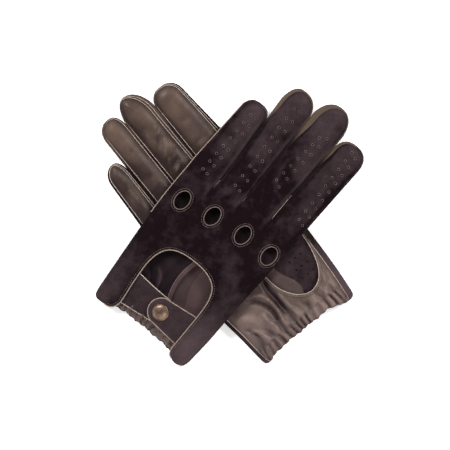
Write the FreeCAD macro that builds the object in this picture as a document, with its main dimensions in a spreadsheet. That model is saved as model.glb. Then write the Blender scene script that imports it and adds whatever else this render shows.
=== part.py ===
"""A pair of leather driving gloves, laid across each other.

Each glove has a suede back, a smooth leather palm, fourchettes between the fingers, a two-piece thumb, an
elasticated cuff and a wrist opening closed by a strap with a press stud.  The right glove lies palm up on the
floor.  The left glove lies back up across it, and drapes over it to the floor at its cuff and its fingertips.

Both gloves are drawn in the same glove frame, in millimetres: x across towards the index finger, y from the
cuff to the fingertips, z up.  Every leather piece is an upright prism of its outline, cut to a layer of the
glove's thickness.  A layer follows the glove's long profile, so it bends where the glove bends.
The row frame has its origin on the floor under the middle of the pair, with +Z up.
"""

import FreeCAD, Part
import Sketcher
import math
import os

SIDES = ("left", "right")
FINGERS = ("little", "ring", "middle", "index")
KNUCKLES = FINGERS
SCRATCH_CELL = "A1"
PARTS_FOLDER = "parts"

# Driving dimensions in millimetres and degrees.  The sheet gives each one an alias of the same name.
DIMENSIONS = {
    # leather and the glove's flat thickness
    "depth": 8.6,
    "suede": 1.2,
    "nappa": 1.0,
    "wall": 0.9,
    "gap": 0.1,
    "thread": 0.4,
    "thread_rise": 0.2,
    "thread_clear": 0.02,
    # hand outline
    "cuff_half": 46.0,
    "waist_y": 60.0,
    "waist_half": 50.0,
    "little_root_y": 129.0,
    "index_root_y": 138.0,
    "little_side": 52.3,
    "left_index_side": 52.6,
    "right_index_side": 48.4,
    "finger_start_y": 120.0,
    # fingers of the left glove: centre line's start, half widths, lean towards the index side, fingertip
    "left_little_x": -38.4,
    "left_little_base": 12.4,
    "left_little_tip": 11.4,
    "left_little_lean": 0.0,
    "left_little_reach": 203.0,
    "left_ring_x": -9.6,
    "left_ring_base": 12.1,
    "left_ring_tip": 12.0,
    "left_ring_lean": -4.2,
    "left_ring_reach": 233.0,
    "left_middle_x": 14.6,
    "left_middle_base": 12.9,
    "left_middle_tip": 13.6,
    "left_middle_lean": -0.5,
    "left_middle_reach": 241.0,
    "left_index_x": 39.6,
    "left_index_base": 12.2,
    "left_index_tip": 12.8,
    "left_index_lean": 1.8,
    "left_index_reach": 225.0,
    # fingers of the right glove
    "right_little_x": -42.4,
    "right_little_base": 9.8,
    "right_little_tip": 8.4,
    "right_little_lean": 1.0,
    "right_little_reach": 202.0,
    "right_ring_x": -21.8,
    "right_ring_base": 9.9,
    "right_ring_tip": 9.6,
    "right_ring_lean": 0.6,
    "right_ring_reach": 232.0,
    "right_middle_x": 3.0,
    "right_middle_base": 12.3,
    "right_middle_tip": 11.6,
    "right_middle_lean": -0.6,
    "right_middle_reach": 238.0,
    "right_index_x": 32.6,
    "right_index_base": 14.4,
    "right_index_tip": 12.0,
    "right_index_lean": -1.6,
    "right_index_reach": 226.0,
    # knuckle holes
    "knuckle_half_x": 6.0,
    "knuckle_half_y": 8.2,
    "binding": 1.0,
    "left_little_knuckle_x": -38.5,
    "left_ring_knuckle_x": -12.0,
    "left_middle_knuckle_x": 16.0,
    "left_index_knuckle_x": 42.5,
    "right_little_knuckle_x": -39.5,
    "right_ring_knuckle_x": -15.5,
    "right_middle_knuckle_x": 12.0,
    "right_index_knuckle_x": 37.5,
    "little_knuckle_y": 103.5,
    "ring_knuckle_y": 108.7,
    "middle_knuckle_y": 112.3,
    "index_knuckle_y": 112.5,
    "stitch_offset": 2.2,
    "trim_y": 4.5,
    # wrist opening
    "opening_x": 0.5,
    "opening_half": 28.5,
    "opening_top_y": 72.0,
    "opening_corner": 23.0,
    "proud": 0.25,
    # thumb
    "thumb_hole_x": 20.5,
    "thumb_hole_y": 56.0,
    "thumb_hole_half_x": 20.5,
    "thumb_hole_half_y": 32.0,
    "thumb_seam": 1.6,
    "thumb_base": 21.0,
    "thumb_tip": 11.0,
    "thumb_length": 54.0,
    "left_thumb_lean": 3.0,
    "right_thumb_lean": 6.0,
    "thumb_depth": 4.2,
    # cuff
    "elastic_y": 9.0,
    "elastic_width": 8.0,
    "elastic_half": 41.0,
    "elastic_thick": 1.0,
    # strap and press stud
    "strap_y": 24.5,
    "strap_root_x": 27.3,
    "strap_root_half": 13.4,
    "strap_round": 11.0,
    "strap_end_x": -7.0,
    "strap_turn": 90.0,
    "strap_lift": 0.15,
    "strap_suede": 0.8,
    "strap_lining": 0.4,
    "tab_drop": 2.45,
    "tab_root_x": -31.5,
    "tab_end_x": 14.0,
    "tab_low_y": 9.0,
    "tab_high_y": 37.0,
    "tab_end_low_y": 13.5,
    "tab_end_high_y": 35.0,
    "snap_x": 4.2,
    "snap_y": 23.8,
    "cap_radius": 6.75,
    "cap_height": 2.4,
    "cap_rim": 0.7,
    "shank": 1.4,
    "shank_length": 2.0,
    "shank_play": 0.15,
    "shank_hole": 1.75,
    "drill_length": 16.0,
    "half_turn": 180.0,
    "full_turn": 360.0,
    "socket_radius": 4.6,
    "socket_thick": 1.6,
    "socket_roof": 0.6,
    "socket_cavity": 2.9,
    "spring_ring": 2.5,
    "spring_wire": 0.25,
    "stud_radius": 4.2,
    "stud_flange": 0.6,
    "stud_neck": 1.8,
    "stud_ball": 2.05,
    "stud_ball_low": 0.9,
    "stud_ball_high": 1.275,
    "stud_height": 1.5,
    "stud_bore": 1.2,
    "stud_bore_depth": 1.2,
    "post_radius": 4.2,
    "post_thick": 0.5,
    "post_shank": 1.1,
    "post_length": 2.2,
    # long profiles: the left glove rises over the right one, whose cuff rests on its own press stud
    "drape_height": 17.6,
    "drape_cuff_z": 0.4,
    "rise_end_y": 57.0,
    "crest_end_y": 105.0,
    "crest_end_z": 17.3,
    "thumb_end_y": 150.0,
    "thumb_end_z": 14.4,
    "ledge_end_y": 171.0,
    "ledge_end_z": 9.4,
    "fall_end_y": 220.0,
    "fall_end_z": 0.1,
    "right_cuff_z": 4.3,
    "right_cuff_end_y": 40.0,
    "right_floor_y": 75.0,
    "right_floor_z": 0.25,
    # placing on the floor
    "left_turn": -39.2,
    "right_turn": 39.2,
    "left_cross_y": 109.6,
    "right_cross_y": 107.6,
    "pair_x": -2.8,
    # ends of the cutting prisms, clear of every outline
    "prism_low": -15.0,
    "prism_tall": 60.0,
    "profile_low_y": -12.0,
    "profile_high_y": 262.0,
    "clear_half": 80.0,
    "clear_y": 255.0,
}

doc = FreeCAD.newDocument("driving_gloves")
sheet = doc.addObject("Spreadsheet::Sheet", "dims")
for row, (alias, size) in enumerate(DIMENSIONS.items(), start=1):
    sheet.set(f"A{row}", alias)
    sheet.set(f"B{row}", str(size))
    sheet.setAlias(f"B{row}", alias)
scratch = doc.addObject("Spreadsheet::Sheet", "scratch")
doc.recompute()

subparts = []


def cells(expression):
    """Writes the sheet's name before each alias in an expression."""
    words = expression.replace("(", "( ").replace(")", " )").split()
    return " ".join("dims." + word if word in DIMENSIONS else word for word in words)


def number(expression):
    """The value of an expression, worked out in a cell of the scratch sheet."""
    scratch.set(SCRATCH_CELL, "=" + cells(expression))
    scratch.recompute()
    return float(scratch.get(SCRATCH_CELL))


def bind(obj, path, expression):
    obj.setExpression(path, cells(expression))


def add(kind, name):
    """A document object whose Label is the given name."""
    obj = doc.addObject(kind, name)
    obj.Label = name
    return obj


def new_sketch(body, name, plane="XY_Plane", x="0", y="0", z="0", turn="0"):
    """A sketch on one of its body's origin planes, moved in that plane and turned about its normal."""
    sketch = body.newObject("Sketcher::SketchObject", name)
    origin_plane = [f for f in body.Origin.OriginFeatures if f.Role == plane][0]
    sketch.AttachmentSupport = [(origin_plane, "")]
    sketch.MapMode = "FlatFace"
    sketch.AttachmentOffset = FreeCAD.Placement(
        FreeCAD.Vector(), FreeCAD.Rotation(FreeCAD.Vector(0, 0, 1), number(turn))
    )
    bind(sketch, "AttachmentOffset.Base.x", x)
    bind(sketch, "AttachmentOffset.Base.y", y)
    bind(sketch, "AttachmentOffset.Base.z", z)
    bind(sketch, "AttachmentOffset.Rotation.Angle", turn)
    return sketch


def constrain(sketch, kind, where, expression=None):
    """Adds a constraint, and binds its size to the sheet when it has one."""
    if expression is None:
        sketch.addConstraint(Sketcher.Constraint(kind, *where))
        return
    index = sketch.addConstraint(Sketcher.Constraint(kind, *where, number(expression)))
    bind(sketch, f"Constraints[{index}]", expression)


def line(sketch, start, end):
    return sketch.addGeometry(
        Part.LineSegment(FreeCAD.Vector(*start, 0), FreeCAD.Vector(*end, 0)), False
    )


def arc(sketch, centre, radius, low, high):
    circle = Part.Circle(FreeCAD.Vector(*centre, 0), FreeCAD.Vector(0, 0, 1), radius)
    return sketch.addGeometry(
        Part.ArcOfCircle(circle, math.radians(low), math.radians(high)), False
    )


def draw_polygon(sketch, corners):
    """A closed polygon whose corners are pairs of expressions."""
    points = [(number(x), number(y)) for x, y in corners]
    sides = [line(sketch, p, points[(i + 1) % len(points)]) for i, p in enumerate(points)]
    for i, side in enumerate(sides):
        constrain(sketch, "Coincident", (side, 2, sides[(i + 1) % len(sides)], 1))
    for side, (x, y) in zip(sides, corners):
        constrain(sketch, "DistanceX", (-1, 1, side, 1), x)
        constrain(sketch, "DistanceY", (-1, 1, side, 1), y)


def draw_slot(sketch, base_half, tip_radius, length):
    """A tapering finger shape along +y: a straight base at y 0 and a round tip."""
    half, radius = number(base_half), number(tip_radius)
    centre_y = number(f"{length} - ( {tip_radius} )")
    base = line(sketch, (-half, 0), (half, 0))
    right = line(sketch, (half, 0), (radius, centre_y))
    tip = arc(sketch, (0, centre_y), radius, 0, 180)
    left = line(sketch, (-radius, centre_y), (-half, 0))
    for first, second in ((base, right), (right, tip), (tip, left), (left, base)):
        constrain(sketch, "Coincident", (first, 2, second, 1))
    constrain(sketch, "DistanceX", (-1, 1, base, 2), base_half)
    constrain(sketch, "DistanceX", (base, 1, -1, 1), base_half)
    constrain(sketch, "PointOnObject", (base, 1, -1))
    constrain(sketch, "PointOnObject", (base, 2, -1))
    constrain(sketch, "PointOnObject", (tip, 3, -2))
    constrain(sketch, "DistanceY", (-1, 1, tip, 3), f"{length} - ( {tip_radius} )")
    constrain(sketch, "Radius", (tip,), tip_radius)
    constrain(sketch, "Horizontal", (tip, 1, tip, 3))
    constrain(sketch, "Horizontal", (tip, 2, tip, 3))


def draw_arch(sketch, half, top, corner, bottom):
    """An arch round x 0, with round upper corners and an open-ended straight foot."""
    width, high, radius, low = number(half), number(top), number(corner), number(bottom)
    flat = width - radius
    foot = line(sketch, (-width, low), (width, low))
    right = line(sketch, (width, low), (width, high - radius))
    right_corner = arc(sketch, (flat, high - radius), radius, 0, 90)
    roof = line(sketch, (flat, high), (-flat, high))
    left_corner = arc(sketch, (-flat, high - radius), radius, 90, 180)
    left = line(sketch, (-width, high - radius), (-width, low))
    chain = (foot, right, right_corner, roof, left_corner, left)
    tangent = {right, right_corner, roof, left_corner}
    for first, second in zip(chain, chain[1:] + chain[:1]):
        kind = "Tangent" if first in tangent else "Coincident"
        constrain(sketch, kind, (first, 2, second, 1))
    constrain(sketch, "Horizontal", (foot,))
    constrain(sketch, "Vertical", (right,))
    constrain(sketch, "Equal", (right_corner, left_corner))
    constrain(sketch, "Radius", (right_corner,), corner)
    constrain(sketch, "DistanceX", (-1, 1, right, 1), half)
    constrain(sketch, "DistanceX", (foot, 1, -1, 1), half)
    constrain(sketch, "DistanceY", (foot, 1, -1, 1), f"0 - ( {bottom} )")
    constrain(sketch, "DistanceY", (-1, 1, roof, 1), top)


def draw_ellipse(sketch, half_x, half_y):
    """An upright ellipse round the sketch's origin, its long axis along y."""
    wide, tall = number(half_x), number(half_y)
    ellipse = Part.Ellipse(
        FreeCAD.Vector(0, tall, 0), FreeCAD.Vector(-wide, 0, 0), FreeCAD.Vector(0, 0, 0)
    )
    curve = sketch.addGeometry(ellipse, False)
    sketch.exposeInternalGeometry(curve)
    major, minor = curve + 1, curve + 2
    constrain(sketch, "Coincident", (curve, 3, -1, 1))
    constrain(sketch, "Vertical", (major,))
    constrain(sketch, "Distance", (major,), f"2 * ( {half_y} )")
    constrain(sketch, "Distance", (minor,), f"2 * ( {half_x} )")


def draw_circle(sketch, radius):
    circle = Part.Circle(FreeCAD.Vector(), FreeCAD.Vector(0, 0, 1), number(radius))
    curve = sketch.addGeometry(circle, False)
    constrain(sketch, "Coincident", (curve, 3, -1, 1))
    constrain(sketch, "Radius", (curve,), radius)


def pad(body, sketch, length="prism_tall"):
    feature = body.newObject("PartDesign::Pad", sketch.Name + "_pad")
    feature.Profile = sketch
    bind(feature, "Length", length)
    return feature


def pocket(body, sketch):
    """Cuts a sketch out of the body, along +z from the sketch's plane."""
    doc.recompute()
    before = body.Shape.Volume
    feature = body.newObject("PartDesign::Pocket", sketch.Name + "_pocket")
    feature.Profile = sketch
    feature.Reversed = True
    bind(feature, "Length", "prism_tall")
    doc.recompute()
    if not body.Shape.Volume < before:
        raise RuntimeError(f"{feature.Name} cuts nothing")
    return feature


def prism(name, draw, *sizes, **place):
    """A body that is one upright prism of a sketch."""
    body = add("PartDesign::Body", name)
    sketch = new_sketch(body, name + "_outline", z="prism_low", **place)
    draw(sketch, *sizes)
    pad(body, sketch)
    return body


def hand_corners(side, inset, foot_y):
    """The hand's outline from cuff to finger roots, with its sides and top moved in by inset."""
    top = f"- {inset}"
    return [
        (f"{inset} - cuff_half", foot_y),
        (f"cuff_half - {inset}", foot_y),
        (f"waist_half - {inset}", "waist_y"),
        (f"{side}_index_side - {inset}", f"index_root_y {top}"),
        (f"{inset} - little_side", f"little_root_y {top}"),
        (f"{inset} - waist_half", "waist_y"),
    ]


def glove_prism(name, side, inset="0", foot_y="0"):
    """An upright prism of one glove's outline: the hand and its four fingers."""
    body = add("PartDesign::Body", name)
    hand = new_sketch(body, name + "_hand", z="prism_low")
    draw_polygon(hand, hand_corners(side, inset, foot_y))
    pad(body, hand)
    for finger in FINGERS:
        key = f"{side}_{finger}"
        sketch = new_sketch(
            body,
            f"{name}_{finger}",
            x=f"{key}_x",
            y="finger_start_y",
            z="prism_low",
            turn=f"0 - {key}_lean",
        )
        length = f"( {key}_reach - finger_start_y - {inset} ) / cos( {key}_lean )"
        draw_slot(sketch, f"{key}_base - {inset}", f"{key}_tip - {inset}", length)
        pad(body, sketch)
    return body


def back_prism(side):
    """The back's outline prism, with its knuckle holes and its wrist opening."""
    name = f"{side}_back_outline"
    body = glove_prism(name, side)
    for knuckle in KNUCKLES:
        hole = new_sketch(
            body,
            f"{name}_{knuckle}_hole",
            x=f"{side}_{knuckle}_knuckle_x",
            y=f"{knuckle}_knuckle_y",
            z="prism_low",
        )
        draw_ellipse(hole, "knuckle_half_x", "knuckle_half_y")
        pocket(body, hole)
    opening = new_sketch(body, name + "_opening", x="opening_x", z="prism_low")
    draw_arch(opening, "opening_half", "opening_top_y", "opening_corner", "prism_low")
    pocket(body, opening)
    return body


def palm_prism(side):
    """The palm's outline prism, with its thumb hole."""
    name = f"{side}_palm_outline"
    body = glove_prism(name, side)
    hole = new_sketch(
        body, name + "_thumb_hole", x="thumb_hole_x", y="thumb_hole_y", z="prism_low"
    )
    draw_ellipse(hole, "thumb_hole_half_x", "thumb_hole_half_y")
    pocket(body, hole)
    return body


def profile_points(side):
    """The glove's long profile: pairs of y and the height of its lower face."""
    if side == "left":
        slope = "( drape_height - drape_cuff_z ) / rise_end_y"
        return [
            ("profile_low_y", f"drape_cuff_z + profile_low_y * {slope}"),
            ("rise_end_y", "drape_height"),
            ("crest_end_y", "crest_end_z"),
            ("thumb_end_y", "thumb_end_z"),
            ("ledge_end_y", "ledge_end_z"),
            ("fall_end_y", "fall_end_z"),
            ("profile_high_y", "fall_end_z"),
        ]
    return [
        ("profile_low_y", "right_cuff_z"),
        ("right_cuff_end_y", "right_cuff_z"),
        ("right_floor_y", "right_floor_z"),
        ("profile_high_y", "right_floor_z"),
    ]


def layer(side, name, low, high):
    """A sheet across the whole glove between two heights above its lower face, following its profile."""
    body = add("PartDesign::Body", f"{side}_{name}_layer")
    sketch = new_sketch(body, body.Name + "_profile", "YZ_Plane", z="0 - clear_half")
    points = profile_points(side)
    lower = [(y, f"{z} + ( {low} )") for y, z in points]
    upper = [(y, f"{z} + ( {high} )") for y, z in points]
    draw_polygon(sketch, lower + upper[::-1])
    pad(body, sketch, "2 * clear_half")
    return body


def boolean(kind, name, base, tool):
    result = add(f"Part::{kind}", name)
    result.Base = base
    result.Tool = tool
    return result


def fuse(name, *shapes):
    result = add("Part::MultiFuse", name)
    result.Shapes = list(shapes)
    return result


def keep(side, name, obj):
    """Makes an object a sub-part: its Label names its file, and its Placement lays it on the floor."""
    obj.Label = f"{side}_{name}"
    turn, cross = f"{side}_turn", f"{side}_cross_y"
    obj.Placement = FreeCAD.Placement(
        FreeCAD.Vector(), FreeCAD.Rotation(FreeCAD.Vector(0, 0, 1), number(turn))
    )
    bind(obj, "Placement.Base.x", f"pair_x + {cross} * sin( {turn} )")
    bind(obj, "Placement.Base.y", f"0 - {cross} * cos( {turn} )")
    bind(obj, "Placement.Rotation.Angle", turn)
    subparts.append(obj)
    return obj


def sheet_piece(side, name, outline, low, high):
    """A sub-part that is an outline prism cut to one layer."""
    slab = layer(side, name, low, high)
    return keep(side, name, boolean("Common", f"{side}_{name}", outline, slab))


def centre_x(side, finger, y):
    """Where a finger's centre line is at a height y."""
    key = f"{side}_{finger}"
    return f"{key}_x + ( {y} - finger_start_y ) * tan( {key}_lean )"


def between_prism(side, name, first, second):
    """A prism from one finger's centre line to the next one's, above the finger roots."""
    low_y, high_y = "little_root_y - wall", "clear_y"
    corners = [
        (centre_x(side, first, low_y) + " + gap", low_y),
        (centre_x(side, second, low_y) + " - gap", low_y),
        (centre_x(side, second, high_y) + " - gap", high_y),
        (centre_x(side, first, high_y) + " + gap", high_y),
    ]
    return prism(f"{side}_{name}_between", draw_polygon, corners)


def outside_prism(side, finger, edge):
    """A prism from an outer finger's centre line outwards, the whole length of the glove."""
    low_y, high_y = "profile_low_y", "clear_y"
    corners = [
        (centre_x(side, finger, low_y), low_y),
        (edge, low_y),
        (edge, high_y),
        (centre_x(side, finger, high_y), high_y),
    ]
    if finger == "little":
        corners.reverse()
    return prism(f"{side}_{finger}_outside", draw_polygon, corners)


def shell(side):
    """Back, palm and fourchettes: the glove's own skin."""
    back_up = side == "left"
    outline = glove_prism(f"{side}_outline", side)
    inside = glove_prism(f"{side}_inside", side, "wall", "profile_low_y")
    rim = boolean("Cut", f"{side}_rim", outline, inside)
    back_low, back_high = ("depth - suede", "depth") if back_up else ("0", "suede")
    palm_low, palm_high = ("0", "nappa") if back_up else ("depth - nappa", "depth")
    side_low, side_high = ("nappa + gap", "depth") if back_up else ("0", "depth - nappa - gap")
    wall_low = "nappa + gap" if back_up else "suede + gap"
    wall_high = "depth - suede - gap" if back_up else "depth - nappa - gap"

    face = boolean(
        "Common",
        f"{side}_back_face",
        back_prism(side),
        layer(side, "back_face", back_low, back_high),
    )
    outsides = fuse(
        f"{side}_outsides",
        outside_prism(side, "little", "0 - clear_half"),
        outside_prism(side, "index", "clear_half"),
    )
    outer_rim = boolean("Common", f"{side}_outer_rim", rim, outsides)
    edge = boolean(
        "Common", f"{side}_back_edge", outer_rim, layer(side, "back_edge", side_low, side_high)
    )
    keep(side, "back_panel", fuse(f"{side}_back_panel", face, edge))
    sheet_piece(side, "palm_panel", palm_prism(side), palm_low, palm_high)

    for first, second in zip(FINGERS, FINGERS[1:]):
        name = f"fourchette_{first}_{second}"
        between = between_prism(side, name, first, second)
        strip = boolean("Common", f"{side}_{name}_strip", rim, between)
        sheet_piece(side, name, strip, wall_low, wall_high)


def ring_prism(name, draw, outer, inner, **place):
    """A prism of the space between two outlines drawn on the same place."""
    return boolean(
        "Cut",
        name,
        prism(name + "_outer", draw, *outer, **place),
        prism(name + "_inner", draw, *inner, **place),
    )


def arch_sizes(out):
    """The wrist opening's outline, moved outwards by an expression."""
    return (
        f"opening_half + ( {out} )",
        f"opening_top_y + ( {out} )",
        f"opening_corner + ( {out} )",
        "prism_low",
    )


def cuff_trim(side, name, shape):
    """Ends a shape at the cuff line."""
    corners = [
        ("0 - clear_half", "trim_y"),
        ("clear_half", "trim_y"),
        ("clear_half", "clear_y"),
        ("0 - clear_half", "clear_y"),
    ]
    half_plane = prism(f"{side}_{name}_trim", draw_polygon, corners)
    return boolean("Common", f"{side}_{name}_trimmed", shape, half_plane)


def edgings(side):
    """Piping and bindings on the edges of the openings, and the stitch lines beside them."""
    back_up = side == "left"
    edge_low = "depth - suede - proud" if back_up else "0 - proud"
    edge_high = "depth + proud" if back_up else "suede + proud"
    thread_top = "thread_clear + thread_rise"
    thread_low = "depth + thread_clear" if back_up else f"0 - ( {thread_top} )"
    thread_high = f"depth + {thread_top}" if back_up else "0 - thread_clear"

    piping = ring_prism(
        f"{side}_piping_ring",
        draw_arch,
        arch_sizes("0"),
        arch_sizes("0 - binding"),
        x="opening_x",
    )
    sheet_piece(side, "opening_piping", cuff_trim(side, "piping", piping), edge_low, edge_high)
    stitches = ring_prism(
        f"{side}_opening_thread",
        draw_arch,
        arch_sizes("stitch_offset + thread"),
        arch_sizes("stitch_offset"),
        x="opening_x",
    )
    sheet_piece(
        side, "opening_stitching", cuff_trim(side, "stitches", stitches), thread_low, thread_high
    )

    bindings, threads = [], []
    for knuckle in KNUCKLES:
        place = {"x": f"{side}_{knuckle}_knuckle_x", "y": f"{knuckle}_knuckle_y"}
        edge, inner = ("knuckle_half_x", "knuckle_half_y"), "- binding"
        bindings.append(
            ring_prism(
                f"{side}_{knuckle}_binding",
                draw_ellipse,
                edge,
                [f"{half} {inner}" for half in edge],
                **place,
            )
        )
        threads.append(
            ring_prism(
                f"{side}_{knuckle}_thread",
                draw_ellipse,
                [f"{half} + stitch_offset + thread" for half in edge],
                [f"{half} + stitch_offset" for half in edge],
                **place,
            )
        )
    sheet_piece(
        side, "knuckle_bindings", fuse(f"{side}_bindings", *bindings), edge_low, edge_high
    )
    sheet_piece(
        side, "knuckle_stitching", fuse(f"{side}_threads", *threads), thread_low, thread_high
    )


def thumb_prism(side, name, out):
    """The thumb's outline moved outwards: an oval round the thumb hole, and the tapering free thumb."""
    centre = {"x": "thumb_hole_x", "y": "thumb_hole_y"}
    oval = prism(
        name + "_oval",
        draw_ellipse,
        f"thumb_hole_half_x + {out}",
        f"thumb_hole_half_y + {out}",
        **centre,
    )
    return fuse(name, oval, free_thumb_prism(side, name + "_free", f"{out} - thumb_seam"))


def free_thumb_prism(side, name, out):
    """The free part of the thumb, from the middle of the thumb hole to the thumb's tip."""
    return prism(
        name,
        draw_slot,
        f"thumb_base + {out}",
        f"thumb_tip + {out}",
        f"thumb_length + {out}",
        x="thumb_hole_x",
        y="thumb_hole_y",
        turn=f"0 - {side}_thumb_lean",
    )


def thumb(side):
    """The thumb, folded flat on the outside of the palm: a suede back over a smooth front.

    The back is a shallow tray sewn round the thumb hole.  The front closes its free part.
    """
    outline = thumb_prism(side, f"{side}_thumb_outline", "thumb_seam")
    hollow = thumb_prism(side, f"{side}_thumb_hollow", "thumb_seam - wall")
    front = free_thumb_prism(side, f"{side}_thumb_front_outline", "0 - wall - gap")
    if side == "left":
        front_low, front_high = "0 - gap - nappa", "0 - gap"
        back_low, back_high = "0 - thumb_depth", "0 - gap"
        room_low, room_high = "suede - thumb_depth", "0"
    else:
        front_low, front_high = "depth + gap", "depth + gap + nappa"
        back_low, back_high = "depth + gap", "depth + thumb_depth"
        room_low, room_high = "depth", "depth + thumb_depth - suede"
    sheet_piece(side, "thumb_front", front, front_low, front_high)
    block = boolean(
        "Common",
        f"{side}_thumb_block",
        outline,
        layer(side, "thumb_block", back_low, back_high),
    )
    room = boolean(
        "Common",
        f"{side}_thumb_room",
        hollow,
        layer(side, "thumb_room", room_low, room_high),
    )
    keep(side, "thumb_back", boolean("Cut", f"{side}_thumb_back", block, room))


def cuff_elastic(side):
    """The elastic band sewn inside the palm's cuff."""
    back_up = side == "left"
    corners = [
        ("0 - elastic_half", "elastic_y"),
        ("elastic_half", "elastic_y"),
        ("elastic_half", "elastic_y + elastic_width"),
        ("0 - elastic_half", "elastic_y + elastic_width"),
    ]
    low = "nappa + gap" if back_up else "depth - nappa - gap - elastic_thick"
    band = prism(f"{side}_elastic_outline", draw_polygon, corners)
    sheet_piece(side, "elastic_band", band, low, f"{low} + elastic_thick")


def strap_slot(name, inset):
    """The strap's outline prism: a straight root at the hinge side and a round end."""
    return prism(
        name,
        draw_slot,
        f"strap_root_half - {inset}",
        f"strap_round - {inset}",
        f"strap_root_x - strap_end_x - {inset}",
        x="strap_root_x",
        y="strap_y",
        turn="strap_turn",
    )


def stud_axis(side, along):
    """A point of the press stud's axis in the glove frame, and the axis's tilt.

    The distance along the axis counts outwards from the strap's outer face.
    """
    top = "strap_lift + strap_lining + strap_suede"
    if side == "left":
        slope = "( drape_height - drape_cuff_z ) / rise_end_y"
        foot = f"drape_cuff_z + snap_y * {slope} + depth + {top}"
        tilt = f"atan( {slope} )"
    else:
        foot = f"right_cuff_z - ( {top} )"
        tilt = "half_turn"
    y = f"snap_y - sin( {tilt} ) * ( {along} )"
    z = f"{foot} + cos( {tilt} ) * ( {along} )"
    return y, z, tilt


def punched(side, name, outline):
    """An outline prism with the hole for the press stud's shank, along the stud's axis."""
    drill = add("Part::Cylinder", f"{side}_{name}_drill")
    bind(drill, "Radius", "shank_hole")
    bind(drill, "Height", "drill_length")
    y, z, tilt = stud_axis(side, "0 - drill_length / 2")
    drill.Placement = FreeCAD.Placement(
        FreeCAD.Vector(), FreeCAD.Rotation(FreeCAD.Vector(1, 0, 0), number(tilt))
    )
    bind(drill, "Placement.Base.x", "snap_x")
    bind(drill, "Placement.Base.y", y)
    bind(drill, "Placement.Base.z", z)
    return boolean("Cut", f"{side}_{name}_punched", outline, drill)


def strap_layer(side, low, high):
    """Heights above the glove's lower face, for heights measured outwards from its back."""
    if side == "left":
        return f"depth + {low}", f"depth + {high}"
    return f"0 - ( {high} )", f"0 - ( {low} )"


def straps(side):
    """The strap over the wrist opening, its lining and piping, and the tab under it."""
    lining_top = "strap_lift + strap_lining"
    strap_top = "strap_lift + strap_lining + strap_suede"
    face = punched(side, "strap", strap_slot(f"{side}_strap_outline", "binding"))
    backing = punched(side, "lining", strap_slot(f"{side}_lining_outline", "binding"))
    edge = boolean(
        "Cut",
        f"{side}_strap_edge",
        strap_slot(f"{side}_strap_edge_outer", "0"),
        strap_slot(f"{side}_strap_edge_inner", "binding"),
    )
    sheet_piece(side, "strap", face, *strap_layer(side, lining_top, strap_top))
    sheet_piece(
        side, "strap_lining", backing, *strap_layer(side, "strap_lift", lining_top)
    )
    sheet_piece(side, "strap_piping", edge, *strap_layer(side, "strap_lift", strap_top))

    corners = [
        ("tab_root_x", "tab_low_y"),
        ("tab_end_x", "tab_end_low_y"),
        ("tab_end_x", "tab_end_high_y"),
        ("tab_root_x", "tab_high_y"),
    ]
    tab = punched(side, "tab", prism(f"{side}_tab_outline", draw_polygon, corners))
    low, high = "0 - tab_drop - suede", "0 - tab_drop"
    sheet_piece(side, "under_tab", tab, *strap_layer(side, low, high))


def turned(name, corners):
    """A body turned round z from a half section given as pairs of radius and height."""
    body = add("PartDesign::Body", name)
    sketch = new_sketch(body, name + "_section", "XZ_Plane")
    draw_polygon(sketch, corners)
    feature = body.newObject("PartDesign::Revolution", name + "_turn")
    feature.Profile = sketch
    feature.ReferenceAxis = (sketch, ["V_Axis"])
    bind(feature, "Angle", "full_turn")
    return body


def cap_body(name):
    """The domed cap and its shank.  Height 0 is the strap's outer face."""
    body = add("PartDesign::Body", name)
    sketch = new_sketch(body, name + "_section", "XZ_Plane")
    radius, rim, high = number("cap_radius"), number("cap_rim"), number("cap_height")
    shank, low = number("shank"), -number("shank_length")
    start, clear = (0.0, high), number("gap")
    rise = high - rim
    dome_radius = (radius**2 + rise**2) / (2 * rise)
    dome_low = math.degrees(math.acos(radius / dome_radius))
    dome = arc(sketch, (0, high - dome_radius), dome_radius, dome_low, 90)
    axis = line(sketch, start, (0, low))
    end = line(sketch, (0, low), (shank, low))
    pin = line(sketch, (shank, low), (shank, clear))
    under = line(sketch, (shank, clear), (radius, clear))
    lip = line(sketch, (radius, clear), (radius, rim))
    chain = (axis, end, pin, under, lip)
    for first, second in zip(chain, chain[1:]):
        constrain(sketch, "Coincident", (first, 2, second, 1))
    constrain(sketch, "Coincident", (lip, 2, dome, 1))
    constrain(sketch, "Coincident", (dome, 2, axis, 1))
    constrain(sketch, "PointOnObject", (axis, 1, -2))
    constrain(sketch, "Vertical", (axis,))
    constrain(sketch, "Horizontal", (end,))
    constrain(sketch, "Vertical", (pin,))
    constrain(sketch, "Horizontal", (under,))
    constrain(sketch, "Vertical", (lip,))
    constrain(sketch, "DistanceX", (-1, 1, pin, 1), "shank")
    constrain(sketch, "DistanceY", (pin, 1, -1, 1), "shank_length")
    constrain(sketch, "DistanceY", (-1, 1, under, 1), "gap")
    constrain(sketch, "DistanceX", (-1, 1, lip, 2), "cap_radius")
    constrain(sketch, "DistanceY", (-1, 1, lip, 2), "cap_rim")
    constrain(sketch, "DistanceY", (-1, 1, axis, 1), "cap_height")
    constrain(sketch, "PointOnObject", (dome, 3, -2))
    feature = body.newObject("PartDesign::Revolution", name + "_turn")
    feature.Profile = sketch
    feature.ReferenceAxis = (sketch, ["V_Axis"])
    bind(feature, "Angle", "full_turn")
    return body


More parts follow.
